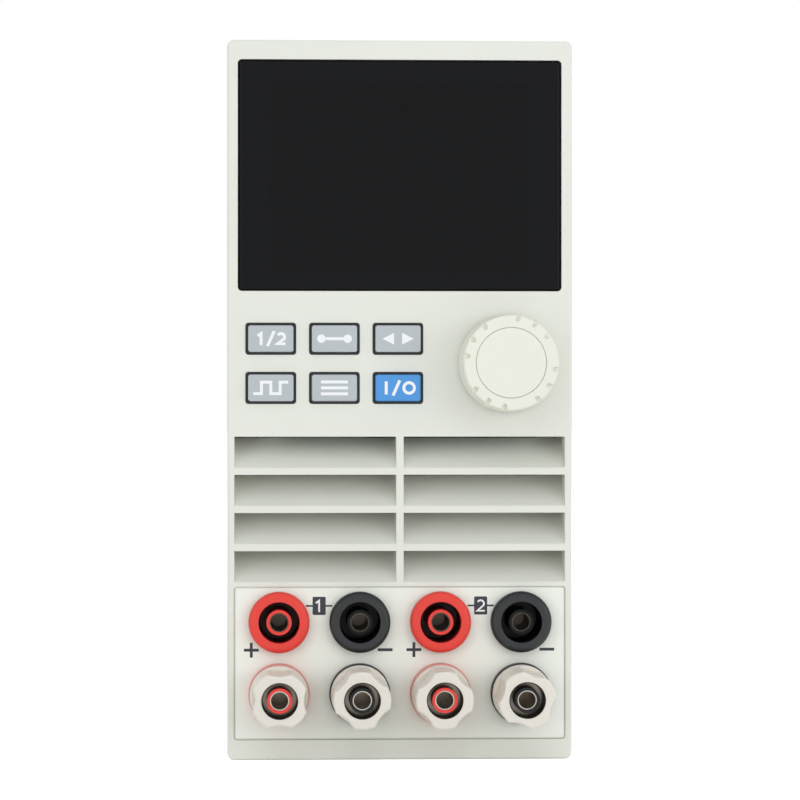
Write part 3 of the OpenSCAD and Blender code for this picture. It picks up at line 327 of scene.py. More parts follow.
def make_finishes():
    """Every finish of the module, by the record's slot or the ink's name."""
    c = settings()[0]
    grey = linear("#CDD2D6")
    black = linear("#1B1C1F")
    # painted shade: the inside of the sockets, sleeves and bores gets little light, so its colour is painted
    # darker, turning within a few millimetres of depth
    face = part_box("front_bezel")[0][1] / MM
    painted_bore_shade = linear("#6A625A")
    painted_stud_bore_shade = linear("#625A50")
    painted_red_mouth_shade = (linear("#6A3230"), (face - 2.2, face + 1.0))
    painted_black_mouth_shade = (linear("#0E0F11"), (face - 2.95, face - 2.2))
    return {
        "bezel_abs": moulded_plastic("moulded_abs_ivory", tuple(c.bezel), 0.5, 0.6),
        "window_acrylic": window_acrylic(),
        "tinned_steel": plated_metal("tinned_steel", grey, 0.34),
        "circuit_board": circuit_board(),
        "keypad_silicone": moulded_plastic("silicone_rubber_black", tuple(c.key_rim), 0.6, 0.4),
        "switch_nylon": moulded_plastic("nylon_black", black, 0.5, 0.4),
        "key_grey": moulded_plastic("painted_abs_key_grey", tuple(c.key_grey), 0.42, 0.35, 0.012),
        "key_blue": moulded_plastic("painted_abs_key_blue", tuple(c.key_blue), 0.42, 0.35, 0.012),
        "nickel_plate": plated_metal("nickel_plated_brass", linear("#C9C6BD"), 0.2),
        "knob_abs": moulded_plastic("moulded_abs_knob", tuple(c.knob), 0.48, 0.5),
        "plate_abs": moulded_plastic("moulded_abs_plate", tuple(c.plate), 0.5, 0.6),
        "terminal_red": moulded_plastic("polyamide_red", tuple(c.red), 0.38, 0.5, 0.01,
                                        Specular_IOR_Level=0.35),
        "terminal_black": moulded_plastic("polyamide_black", tuple(c.black), 0.38, 0.5, 0.01,
                                          Specular_IOR_Level=0.35),
        "socket_red": moulded_plastic("polyamide_red_socket", tuple(c.red), 0.38, 0.5, 0.01, inner=painted_red_mouth_shade,
                                      Specular_IOR_Level=0.35),
        "socket_black": moulded_plastic("polyamide_black_socket", tuple(c.black), 0.38, 0.5, 0.01,
                                        inner=painted_black_mouth_shade, Specular_IOR_Level=0.35),
        "sleeve_black": moulded_plastic("polyamide_black_sleeve", tuple(c.black), 0.38, 0.5, 0.01,
                                        inner=painted_black_mouth_shade, Specular_IOR_Level=0.12),
        "post_base_red": moulded_plastic("polyamide_red_faded", linear("#DC8D85"), 0.38, 0.5, 0.01),
        # painted shade: the contact's base colour is painted dark grey instead of bright nickel, as it sits
        # deep in the socket
        "socket_contact": plated_metal("nickel_plated_contact", linear("#57524A"), 0.34,
                                       inner=(painted_bore_shade, (face - 1.5, face + 2))),
        "post_stud": plated_metal("nickel_plated_stud", linear("#B5AFA4"), 0.2,
                                  inner=(painted_stud_bore_shade, (face - 18.4, face - 12.0))),
        "nut_insert": plated_metal("blackened_brass", linear("#48433D"), 0.36),
        "nut_polyamide": moulded_plastic("polyamide_natural", tuple(c.nut), 0.4, 0.6, 0.015,
                                         Subsurface_Weight=0.25, Subsurface_Radius=(1.0, 0.8, 0.6),
                                         Subsurface_Scale=1.5 * MM),
        "copper_bar": plated_metal("rolled_copper", linear("#C9845F"), 0.3),
        "lead_pvc": moulded_plastic("pvc_insulation_black", black, 0.4, 0.8),
        "galvanised_steel": galvanised_steel(),
        "heat_sink_aluminium": extruded_aluminium(),
        "transistor_epoxy": moulded_plastic("transfer_moulded_epoxy", linear("#222326"), 0.55, 0.3),
        "capacitor_sleeve": moulded_plastic("shrink_sleeve_blue", linear("#2B4274"), 0.35, 1.0),
        "fan_pbt": moulded_plastic("glass_filled_pbt_black", black, 0.5, 0.5),
        "connector_pbt": moulded_plastic("connector_pbt_charcoal", linear("#2A2C30"), 0.48, 0.4),
        "brass": plated_metal("turned_brass", linear("#D9B66A"), 0.26),
        "zinc_screw": plated_metal("zinc_plated_steel", linear("#C4C7CA"), 0.28),
        "ribbon_pvc": moulded_plastic("ribbon_pvc_grey", linear("#B9BFC6"), 0.45, 0.6),
        "white_ink": printed_ink("screen_print_white", tuple(c.white_ink)),
        "dark_ink": printed_ink("screen_print_dark", tuple(c.dark_ink)),
    }


FINISHES = {}


def finish(name):
    """A finish by its slot, with all of them made at the first call."""
    if not FINISHES:
        FINISHES.update(make_finishes())
    return FINISHES[name]


def body_of_node(node):
    """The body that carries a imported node."""
    bodies = frame["record"]["behaviour"]["bodies"]
    return next(body for body, nodes in bodies.items() if node in nodes)


def slot_of_node(node):
    """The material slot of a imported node."""
    return next(part["material_slot"] for part in frame["record"]["subparts"] if part["node"] == node)


def new_piece(name, mesh, material):
    """A scene object at the origin with one material."""
    piece = bpy.data.objects.new(name, mesh)
    bpy.context.scene.collection.objects.link(piece)
    mesh.materials.clear()
    mesh.materials.append(material)
    return piece


def made_mesh(bm, name):
    """The mesh of a finished bmesh, which is freed."""
    mesh = bpy.data.meshes.new(name)
    bm.to_mesh(mesh)
    bm.free()
    return mesh


def settled_mesh(piece):
    """Plain mesh of what a piece's modifiers make."""
    bpy.context.view_layer.update()
    return bpy.data.meshes.new_from_object(piece.evaluated_get(bpy.context.evaluated_depsgraph_get()))


def shade(mesh, degrees=SHARP_DEGREES):
    """Smooth faces that break at edges sharper than the given angle."""
    mesh.shade_smooth()
    mesh.set_sharp_from_angle(angle=math.radians(degrees))


def merged_copy(node):
    """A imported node's mesh, with its loose triangles merged and its flat faces made whole."""
    bm = bmesh.new()
    bm.from_mesh(frame["nodes"][node].data)
    bmesh.ops.remove_doubles(bm, verts=bm.verts, dist=0.002 * MM)
    bmesh.ops.dissolve_limit(bm, angle_limit=math.radians(0.4), verts=bm.verts, edges=bm.edges)
    return bm


def round_edges(bm, radius, segments, chosen):
    """Rounds the sharp edges, or the chosen ones among them, but none of a ring that is too narrow for it."""
    limit = math.radians(SHARP_DEGREES)
    narrow = {f for f in bm.faces if len(f.verts) > 8 and f.calc_area() < 1.1 * radius * f.calc_perimeter()}
    edges = [e for e in bm.edges if len(e.link_faces) == 2 and e.calc_face_angle(0) > limit
             and narrow.isdisjoint(e.link_faces) and (chosen is None or chosen(e))]
    bmesh.ops.bevel(bm, geom=edges, offset=radius, offset_type="OFFSET", segments=segments, profile=0.5,
                    affect="EDGES", clamp_overlap=chosen is None)
    bmesh.ops.remove_doubles(bm, verts=bm.verts, dist=0.001 * MM)


def dressed(node, radius, segments=2, own_finish=None, chosen=None):
    """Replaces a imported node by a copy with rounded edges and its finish."""
    bm = merged_copy(node)
    if radius:
        round_edges(bm, radius, segments, chosen)
    mesh = made_mesh(bm, f"{node}_finished")
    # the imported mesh's own normals no longer fit the new corners
    stale = mesh.attributes.get("custom_normal")
    if stale:
        mesh.attributes.remove(stale)
    shade(mesh)
    slot = slot_of_node(node)
    piece = new_piece(f"{node}_finished", mesh, finish(own_finish or slot))
    weigh_normals(piece)
    stands_for(piece, node)


def weigh_normals(piece):
    """Leans the normals towards the larger faces, so that flat faces stay flat beside rounded edges."""
    modifier = piece.modifiers.new("weigh", "WEIGHTED_NORMAL")
    modifier.mode = "FACE_AREA"
    modifier.keep_sharp = True
    plain = piece.data
    piece.data = settled_mesh(piece)
    piece.modifiers.remove(modifier)
    bpy.data.meshes.remove(plain)


def stands_for(piece, node):
    """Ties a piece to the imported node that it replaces."""
    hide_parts(node)
    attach(piece, body_of_node(node))


def painted(node):
    """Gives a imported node, kept as it is, its finish."""
    mesh = frame["nodes"][node].data
    mesh.materials.clear()
    mesh.materials.append(finish(slot_of_node(node)))


def add_outline(bm, outline, y_front, y_back):
    """Adds a flat shape given as (x, z) points, between two depths."""
    front = [bm.verts.new((x, y_front, z)) for x, z in outline]
    back = [bm.verts.new((x, y_back, z)) for x, z in outline]
    bm.faces.new(front)
    bm.faces.new(list(reversed(back)))
    for i in range(len(outline)):
        j = (i + 1) % len(outline)
        bm.faces.new((front[j], front[i], back[i], back[j]))


def stroke(points, width, mitre_limit=0.4):
    """Outline of a line of the given width through (x, z) points, with mitred corners."""
    sides = ([], [])
    count = len(points)
    for i in range(count):
        here = Vector(points[i])
        before = (here - Vector(points[i - 1])).normalized() if i else None
        after = (Vector(points[i + 1]) - here).normalized() if i < count - 1 else None
        run = before if after is None else after if before is None else (before + after).normalized()
        normal = Vector((-run.y, run.x))
        side = before or after
        reach = width / 2 / max(mitre_limit, normal.dot(Vector((-side.y, side.x))))
        sides[0].append(here + normal * reach)
        sides[1].append(here - normal * reach)
    return [tuple(p) for p in sides[0] + sides[1][::-1]]


def bar(x, z, width, height):
    """Outline of an upright rectangle about a point."""
    return [(x - width / 2, z - height / 2), (x + width / 2, z - height / 2),
            (x + width / 2, z + height / 2), (x - width / 2, z + height / 2)]


def plus(x, z, size, width):
    """Outline of a plus sign about a point."""
    a, b = size / 2, width / 2
    quarter = ((a, -b), (a, b), (b, b))
    turns = ((1, 0), (0, 1), (-1, 0), (0, -1))
    return [(x + px * c - pz * s, z + px * s + pz * c) for c, s in turns for px, pz in quarter]


def disc(x, z, radius, steps=28):
    """Outline of a circle about a point."""
    turn = 2 * math.pi / steps
    return [(x + radius * math.cos(i * turn), z + radius * math.sin(i * turn)) for i in range(steps)]


def rounded_bar(x, z, width, height, radius, steps=5):
    """Outline of a rectangle with round corners about a point."""
    outline = []
    for corner, (sx, sz) in enumerate(((1, 1), (-1, 1), (-1, -1), (1, -1))):
        for i in range(steps + 1):
            angle = math.pi / 2 * (corner + i / steps)
            outline.append((x + sx * (width / 2 - radius) + radius * math.cos(angle),
                            z + sz * (height / 2 - radius) + radius * math.sin(angle)))
    return outline


def ring_strokes(x, z, radius, width, steps=28):
    """A ring as a row of short strokes' outlines that meet end to end."""
    turn = 2 * math.pi / steps
    shapes = []
    for i in range(steps):
        a, b = i * turn, (i + 1) * turn
        inner, outer = radius - width / 2, radius + width / 2
        shapes.append([(x + r * math.cos(t), z + r * math.sin(t))
                       for r, t in ((inner, a), (outer, a), (outer, b), (inner, b))])
    return shapes


def number_stroke(digit, x, z, height, width):
    """Outline of a plain 1 or 2 about a point, drawn with one stroke."""
    half = height / 2 - width / 2
    if digit == 1:
        points = [(-0.27 * height, 0.22 * height), (0, half), (0, -height / 2)]
    else:
        bend = 0.27 * height
        middle = half - bend
        arc = [math.radians(150 - 18.5 * i) for i in range(11)]
        points = [(bend * math.cos(a), middle + bend * math.sin(a)) for a in arc]
        points += [(-0.27 * height, -half), (0.34 * height, -half)]
    return stroke([(x + px, z + pz) for px, pz in points], width)


def print_piece(name, shapes, y_face, ink, body, layer=0):
    """A printed sign: thin ink shapes on a face that looks along -Y, each layer over the one before."""
    thickness = settings()[1].print_height
    front = y_face - thickness * (1 + layer)
    bm = bmesh.new()
    for shape in shapes:
        add_outline(bm, shape, front, y_face + thickness / 2)
    bm.normal_update()
    bmesh.ops.triangulate(bm, faces=[f for f in bm.faces if len(f.verts) > 4])
    bmesh.ops.recalc_face_normals(bm, faces=bm.faces)
    piece = new_piece(name, made_mesh(bm, name), finish(ink))
    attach(piece, body)


def turned_mesh(name, profile, x, z, steps=64):
    """A closed ring turned about an axis along Y: the profile is (radius, y) pairs."""
    bm = bmesh.new()
    turn = 2 * math.pi / steps
    loops = [[bm.verts.new((x + r * math.cos(i * turn), y, z + r * math.sin(i * turn))) for i in range(steps)]
             for r, y in profile]
    for k in range(len(loops)):
        first, second = loops[k], loops[(k + 1) % len(loops)]
        for i in range(steps):
            j = (i + 1) % steps
            bm.faces.new((first[i], first[j], second[j], second[i]))
    bmesh.ops.recalc_face_normals(bm, faces=bm.faces)
    mesh = made_mesh(bm, name)
    shade(mesh)
    return mesh


def solid_boxes(node):
    """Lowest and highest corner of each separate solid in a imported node."""
    bm = merged_copy(node)
    left = set(bm.verts)
    boxes = []
    while left:
        group = [left.pop()]
        for vert in group:
            for edge in vert.link_edges:
                other = edge.other_vert(vert)
                if other in left:
                    left.remove(other)
                    group.append(other)
        boxes.append(tuple(Vector(pick(v.co[i] for v in group) for i in range(3)) for pick in (min, max)))
    bm.free()
    return sorted(boxes, key=lambda pair: tuple(round(c, 6) for c in pair[0]))


def instance_tree(name, grid):
    """Node tree that sets copies of one shape on points, or on a grid that it makes itself."""
    tree = bpy.data.node_groups.new(name, "GeometryNodeTree")
    sockets = {}
    for label, kind in (("Geometry", "NodeSocketGeometry"), ("Shape", "NodeSocketObject"),
                        ("Finish", "NodeSocketMaterial")):
        sockets[label] = tree.interface.new_socket(label, in_out="INPUT", socket_type=kind).identifier
    if grid:
        for label, kind in (("Columns", "NodeSocketInt"), ("Rows", "NodeSocketInt"),
                            ("Pitch", "NodeSocketFloat"), ("Centre", "NodeSocketVector")):
            sockets[label] = tree.interface.new_socket(label, in_out="INPUT", socket_type=kind).identifier
    tree.interface.new_socket("Geometry", in_out="OUTPUT", socket_type="NodeSocketGeometry")
    given = add(tree, "NodeGroupInput").outputs
    shape = add(tree, "GeometryNodeObjectInfo", links={"Object": given["Shape"]}).outputs["Geometry"]
    if grid:
        spans = []
        for label in ("Columns", "Rows"):
            gaps = add(tree, "ShaderNodeMath", {1: 1.0}, {0: given[label]}, operation="SUBTRACT")
            span = add(tree, "ShaderNodeMath", links={0: gaps.outputs["Value"], 1: given["Pitch"]},
                       operation="MULTIPLY")
            spans.append(span.outputs["Value"])
        field = add(tree, "GeometryNodeMeshGrid", links={"Size X": spans[0], "Size Y": spans[1],
                    "Vertices X": given["Columns"], "Vertices Y": given["Rows"]}).outputs["Mesh"]
        points = add(tree, "GeometryNodeTransform", {"Rotation": (math.pi / 2, 0, 0)},
                     {"Geometry": field, "Translation": given["Centre"]}).outputs["Geometry"]
        copies = add(tree, "GeometryNodeInstanceOnPoints", links={"Points": points, "Instance": shape})
    else:
        facing = add(tree, "GeometryNodeInputNamedAttribute", {"Name": "facing"}, data_type="FLOAT_VECTOR")
        turn = add(tree, "FunctionNodeEulerToRotation", links={"Euler": facing.outputs["Attribute"]})
        copies = add(tree, "GeometryNodeInstanceOnPoints", links={"Points": given["Geometry"],
                     "Instance": shape, "Rotation": turn.outputs["Rotation"]})
    real = add(tree, "GeometryNodeRealizeInstances", links={"Geometry": copies.outputs["Instances"]})
    coated = add(tree, "GeometryNodeSetMaterial", links={"Geometry": real.outputs["Geometry"],
                 "Material": given["Finish"]})
    add(tree, "NodeGroupOutput", links={"Geometry": coated.outputs["Geometry"]})
    return tree, sockets


def grown(name, tree, sockets, values, points=()):
    """Plain mesh of what a node tree makes from points, each a place and the way that it faces."""
    mesh = bpy.data.meshes.new(f"{name}_points")
    mesh.from_pydata([place for place, facing in points], [], [])
    if points:
        facing = mesh.attributes.new("facing", "FLOAT_VECTOR", "POINT")
        for i, (place, turn) in enumerate(points):
            facing.data[i].vector = turn
    holder = bpy.data.objects.new(f"{name}_holder", mesh)
    bpy.context.scene.collection.objects.link(holder)
    modifier = holder.modifiers.new("grow", "NODES")
    modifier.node_group = tree
    for label, value in values.items():
        modifier[sockets[label]] = value
    result = settled_mesh(holder)
    holder.modifiers.remove(modifier)
    bpy.data.objects.remove(holder)
    bpy.data.meshes.remove(mesh)
    result.name = name
    return result


def screw_shape(name, rings, cross_reach, cross_width, cross_depth, steps=32, taper=0.55):
    """A cross-recessed screw along -Z: rings are (radius, height) pairs from the face down to the tip."""
    bm = bmesh.new()
    turn = 2 * math.pi / steps
    loops = [[bm.verts.new((r * math.cos(i * turn), r * math.sin(i * turn), z)) for i in range(steps)]
             for r, z in rings]
    rim = [bm.edges.new((loops[0][i], loops[0][(i + 1) % steps])) for i in range(steps)]
    h = cross_width / 2
    arm = ((cross_reach, -h), (cross_reach, h), (h, h))
    cross = [(x * math.cos(q) - y * math.sin(q), x * math.sin(q) + y * math.cos(q))
             for q in (k * math.pi / 2 for k in range(4)) for x, y in arm]
    top = [bm.verts.new((x, y, rings[0][1])) for x, y in cross]
    edge = [bm.edges.new((top[i], top[(i + 1) % len(top)])) for i in range(len(top))]
    bmesh.ops.triangle_fill(bm, edges=rim + edge, use_beauty=True)
    floor = [bm.verts.new((x * taper, y * taper, rings[0][1] - cross_depth)) for x, y in cross]
    for i in range(len(top)):
        j = (i + 1) % len(top)
        bm.faces.new((top[i], top[j], floor[j], floor[i]))
    bm.faces.new(floor)
    for upper, lower in zip(loops, loops[1:]):
        for i in range(steps):
            j = (i + 1) % steps
            bm.faces.new((upper[i], lower[i], lower[j], upper[j]))
    bm.faces.new(loops[-1])
    bmesh.ops.recalc_face_normals(bm, faces=bm.faces)
    mesh = made_mesh(bm, name)
    shade(mesh, 40)
    return bpy.data.objects.new(name, mesh)


def post_axis(i):
    """Where a binding post's axis stands, as (x, z)."""
    low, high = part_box(f"post_collar_{i}")
    return (low[0] + high[0]) / 2, (low[2] + high[2]) / 2


def facing_angles(direction):
    """Euler angles that turn +Z to one of the main directions."""
    return tuple(Vector((0, 0, 1)).rotation_difference(Vector(direction)).to_euler())


class StageOperator(bpy.types.Operator):
    """Sets the white stage, the soft light and the camera of the photograph"""

    bl_idname = "load_module.stage"
    bl_label = "Stage"

    def execute(self, context):
        scene = context.scene
        scene.view_settings.view_transform = "Standard"
        self.set_world(scene)
        self.set_floor()
        self.set_lamps(scene)
        self.set_camera(scene)
        return {"FINISHED"}

    def seen_directly(self, tree):
        """1 for rays that show the background: from the camera, from gloss and through glass."""
        path = add(tree, "ShaderNodeLightPath").outputs
        first = add(tree, "ShaderNodeMath", links={0: path["Is Camera Ray"], 1: path["Is Glossy Ray"]},
                    operation="MAXIMUM")
        both = add(tree, "ShaderNodeMath", links={0: first.outputs["Value"], 1: path["Is Transmission Ray"]},
                   operation="MAXIMUM")
        return both.outputs["Value"]

    def set_world(self, scene):
        """A pale room that lights the module, white wherever it is seen."""
        world = bpy.data.worlds.new("white_studio")
        scene.world = world
        world.use_nodes = True
        tree = world.node_tree
        tree.nodes.clear()
        room = add(tree, "ShaderNodeBackground", {"Color": (*linear("#F1F3F5"), 1), "Strength": 0.8})
        white = add(tree, "ShaderNodeBackground", {"Color": (1, 1, 1, 1), "Strength": 1.0})
        mixed = add(tree, "ShaderNodeMixShader", links={0: self.seen_directly(tree),
                    1: room.outputs["Background"], 2: white.outputs["Background"]})
        add(tree, "ShaderNodeOutputWorld", links={"Surface": mixed.outputs["Shader"]})

    def set_floor(self):
        """A white floor: rays that show the background see its glow, and its lit part keeps the shadow."""
        bm = bmesh.new()
        bmesh.ops.create_grid(bm, x_segments=1, y_segments=1, size=8.0)
        mesh = made_mesh(bm, "floor")
        material = bpy.data.materials.new("white_floor")
        material.use_nodes = True
        tree = material.node_tree
        tree.nodes.clear()
        lit = add(tree, "ShaderNodeBsdfDiffuse", {"Color": (0.9, 0.9, 0.9, 1)})
        strength = add(tree, "ShaderNodeMath", {1: 0.8}, {0: self.seen_directly(tree)}, operation="MULTIPLY")
        glow = add(tree, "ShaderNodeEmission", {"Color": (1, 1, 1, 1)},
                   {"Strength": strength.outputs["Value"]})
        both = add(tree, "ShaderNodeAddShader", links={0: lit.outputs["BSDF"], 1: glow.outputs["Emission"]})
        add(tree, "ShaderNodeOutputMaterial", links={"Surface": both.outputs["Shader"]})
        floor = bpy.data.objects.new("floor", mesh)
        bpy.context.scene.collection.objects.link(floor)
        mesh.materials.append(material)

    def set_lamps(self, scene):
        """Soft lamps: three that face the panel, and one behind that faces the chassis."""
        middle = (CAD_BOX[0][2] + CAD_BOX[1][2]) / 2
        panel = Vector((0, CAD_BOX[0][1], middle))
        chassis = Vector((0, 0.2, middle))
        for name, place, size, watts in (("left_lamp", (-0.9, -1.45, 0.12), 1.0, 3.5),
                                         ("right_lamp", (0.9, -1.45, 0.12), 1.0, 5.7),
                                         ("top_lamp", (-0.1, -1.3, 1.15), 1.0, 1.8),
                                         ("rear_lamp", (0.7, 1.5, 0.9), 1.2, 11.0)):
            lamp = bpy.data.lights.new(name, "AREA")
            lamp.energy = watts
            lamp.color = (0.975, 0.99, 1.0)
            lamp.size = size
            holder = bpy.data.objects.new(name, lamp)
            scene.collection.objects.link(holder)
            holder.location = place
            target = panel if place[1] < 0 else chassis
            holder.rotation_euler = (target - Vector(place)).to_track_quat("-Z", "Y").to_euler()

    def set_camera(self, scene):
        """The camera of the photograph: straight in front, a little to the left."""
        sizes = settings()[1]
        low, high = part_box("front_bezel")
        target = Vector((0, low[1], (low[2] + high[2]) / 2))
        camera = bpy.data.cameras.new("camera")
        camera.sensor_width = 36
        camera.lens = camera.sensor_width * sizes.camera_distance / sizes.picture_width
        camera.clip_start = 0.01
        camera.clip_end = 100
        holder = bpy.data.objects.new("camera", camera)
        scene.collection.objects.link(holder)
        holder.location = target + Vector((sizes.camera_side, -sizes.camera_distance, 0))
        holder.rotation_euler = (target - holder.location).to_track_quat("-Z", "Y").to_euler()
        scene.camera = holder


class BezelOperator(bpy.types.Operator):
    """Finishes the moulded bezel, the terminal plate and the display window"""

    bl_idname = "load_module.bezel"
    bl_label = "Bezel and window"

    def execute(self, context):
        sizes = settings()[1]
        dressed("front_bezel", sizes.bezel_edge)
        dressed("terminal_plate", sizes.plastic_edge)
        dressed("display_window", sizes.plastic_edge)
        for node in ("display_module", "control_board"):
            painted(node)
        return {"FINISHED"}


class KeysOperator(bpy.types.Operator):
    """Finishes the keypad and prints a plain sign on each key"""

    bl_idname = "load_module.keys"
    bl_label = "Keys"

    def execute(self, context):
        sizes = settings()[1]
        dressed("keypad_frame", sizes.keypad_edge)
        painted("tact_switches")
        for node in KEYS:
            dressed(node, sizes.key_edge, segments=3)
            shapes = self.sign(node, *self.face_middle(node), sizes.key_stroke)
            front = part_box(node)[0][1]
            print_piece(f"{node}_sign", shapes, front, "white_ink", body_of_node(node))
        return {"FINISHED"}

    def face_middle(self, node):
        """Middle of a key's front face, as (x, z)."""
        points = [v.co for v in frame["nodes"][node].data.vertices]
        front = min(p.y for p in points)
        face = [p for p in points if p.y < front + 0.01 * MM]
        return tuple((min(p[i] for p in face) + max(p[i] for p in face)) / 2 for i in (0, 2))

    def sign(self, node, x, z, width):
        """Shapes of a key's sign, about its middle."""
        def line(*points):
            return stroke([(x + px * MM, z + pz * MM) for px, pz in points], width)
        if node == "key_channel":
            height = 3.1 * MM
            return [number_stroke(1, x - 2.3 * MM, z, height, width), line((-0.8, -1.8), (0.8, 1.8)),
                    number_stroke(2, x + 2.4 * MM, z, height, width)]
        if node == "key_short":
            return [disc(x - 3.1 * MM, z, MM), disc(x + 3.1 * MM, z, MM), line((-2.14, 0), (2.14, 0))]
        if node == "key_cursor":
            tip, base, half = 3.7 * MM, 0.95 * MM, 1.4 * MM
            return [[(x - side * tip, z), (x - side * base, z - half), (x - side * base, z + half)]
                    for side in (-1, 1)]
        if node == "key_pulse":
            return [line((-4.1, -1.35), (-2.2, -1.35), (-2.2, 1.35), (0, 1.35), (0, -1.35), (2.2, -1.35),
                         (2.2, 1.35), (4.1, 1.35))]
        if node == "key_mode":
            return [bar(x, z + step * MM, 6.4 * MM, width) for step in (-1.4, 0, 1.4)]
        on_mark = bar(x - 2.8 * MM, z, width, 3.1 * MM)
        return [on_mark, line((-1.2, -1.8), (0.4, 1.8)), *ring_strokes(x + 2.6 * MM, z, 1.25 * MM, width)]


class KnobOperator(bpy.types.Operator):
    """Finishes the knob, its cap and the encoder behind them"""

    bl_idname = "load_module.knob"
    bl_label = "Knob"

    def execute(self, context):
        sizes = settings()[1]
        dressed("knob", sizes.plastic_edge)
        dressed("knob_cap", sizes.cap_edge, segments=3)
        for node in ("encoder_body", "encoder_nut", "encoder_plunger", "encoder_shaft"):
            painted(node)
        return {"FINISHED"}


class TerminalsOperator(bpy.types.Operator):
    """Finishes the safety sockets and the binding posts"""

    bl_idname = "load_module.terminals"
    bl_label = "Sockets and posts"

    def execute(self, context):
        sizes = settings()[1]
        for node in ("post_bases_black", "sleeves_red"):
            dressed(node, sizes.metal_edge)
        dressed("post_bases_red", sizes.metal_edge, own_finish="post_base_red")
        dressed("sleeves_black", sizes.metal_edge, own_finish="sleeve_black")
        dressed("socket_housings_red", sizes.plastic_edge, own_finish="socket_red")
        dressed("socket_housings_black", sizes.plastic_edge, own_finish="socket_black")
        dressed("socket_contacts", sizes.metal_edge, own_finish="socket_contact")
        dressed("post_studs", 0, own_finish="post_stud")
        for i in POSTS:
            dressed(f"post_collar_{i}", sizes.plastic_edge)
            self.nut(i)
            self.nut_insert(i)
        for node in ("terminal_nuts", "bus_nuts", "bus_bars", "sense_leads"):
            painted(node)
        return {"FINISHED"}

    def nut(self, i):
        """A clamp nut, with its fluted rim softened towards the face."""
        sizes = settings()[1]
        axis = Vector(post_axis(i))
        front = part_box(f"post_nut_{i}")[0][1] + 0.01 * MM
        bore = sizes.insert_radius + 0.2 * MM

        def on_rim(edge):
            return all(v.co.y < front and (v.co.xz - axis).length > bore for v in edge.verts)

        dressed(f"post_nut_{i}", sizes.nut_edge, segments=4, chosen=on_rim)

    def nut_insert(self, i):
        """The dark metal liner in the front bore of a clamp nut."""
        sizes = settings()[1]
        nut_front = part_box(f"post_nut_{i}")[0][1]
        front = nut_front + 0.35 * MM
        back = nut_front + sizes.insert_depth
        outer, wall = sizes.insert_radius, 0.22 * MM
        profile = [(outer, front), (outer - wall * 0.5, front - 0.1 * MM), (outer - wall, front + 0.05 * MM),
                   (outer - wall, back), (outer, back)]
        mesh = turned_mesh(f"nut_insert_{i}", profile, *post_axis(i))
        piece = new_piece(f"nut_insert_{i}", mesh, finish("nut_insert"))
        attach(piece, f"nut_{i}")


class PlatePrintOperator(bpy.types.Operator):
    """Prints the polarity signs and the channel numbers on the terminal plate"""

    bl_idname = "load_module.plate_print"
    bl_label = "Plate print"

    def execute(self, context):
        sizes = settings()[1]
        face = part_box("terminal_plate")[0][1]
        size, width = sizes.sign_size, sizes.sign_stroke
        sign_z, box_z = 26.0 * MM, 36.4 * MM
        plus_places = (-35.1 * MM, 3.3 * MM)
        minus_places = (-3.5 * MM, 34.8 * MM)
        box_places = (-19.1 * MM, 19.1 * MM)
        box_corner = 0.3 * MM
        dash_offset, dash_length, dash_width = 2.3 * MM, 1.6 * MM, 0.4 * MM
        shapes = [plus(x, sign_z, size, width) for x in plus_places]
        shapes += [bar(x, sign_z, size, width) for x in minus_places]
        for x in box_places:
            shapes.append(rounded_bar(x, box_z, sizes.box_width, sizes.box_height, box_corner))
            for side in (-1, 1):
                shapes.append(bar(x + side * dash_offset, box_z, dash_length, dash_width))
        print_piece("plate_signs", shapes, face, "dark_ink", "module")
        numbers = [number_stroke(i + 1, x, box_z, sizes.digit_height, sizes.digit_stroke)
                   for i, x in enumerate(box_places)]
        print_piece("channel_numbers", numbers, face, "white_ink", "module", layer=1)
        return {"FINISHED"}


class ChassisOperator(bpy.types.Operator):
    """Finishes the sheet-metal chassis and what it holds"""

    bl_idname = "load_module.chassis"
    bl_label = "Chassis"

    def execute(self, context):
        sizes = settings()[1]
        for node in ("chassis_tray", "side_cover", "rear_panel", "front_subpanel"):
            dressed(node, sizes.metal_edge)
        for node in ("heat_sinks", "power_transistors", "power_board", "board_standoffs", "capacitors",
                     "current_shunts", "ribbon_cables", "tapping_screws"):
            painted(node)
        for node in ("guide_bushes", "clinch_nuts"):
            dressed(node, sizes.metal_edge)
        return {"FINISHED"}


class FansOperator(bpy.types.Operator):
    """Finishes the two fans"""

    bl_idname = "load_module.fans"
    bl_label = "Fans"

    def execute(self, context):
        for node in ("fan_frames", "fan_impeller_lower", "fan_impeller_upper"):
            dressed(node, settings()[1].fan_edge)
        return {"FINISHED"}


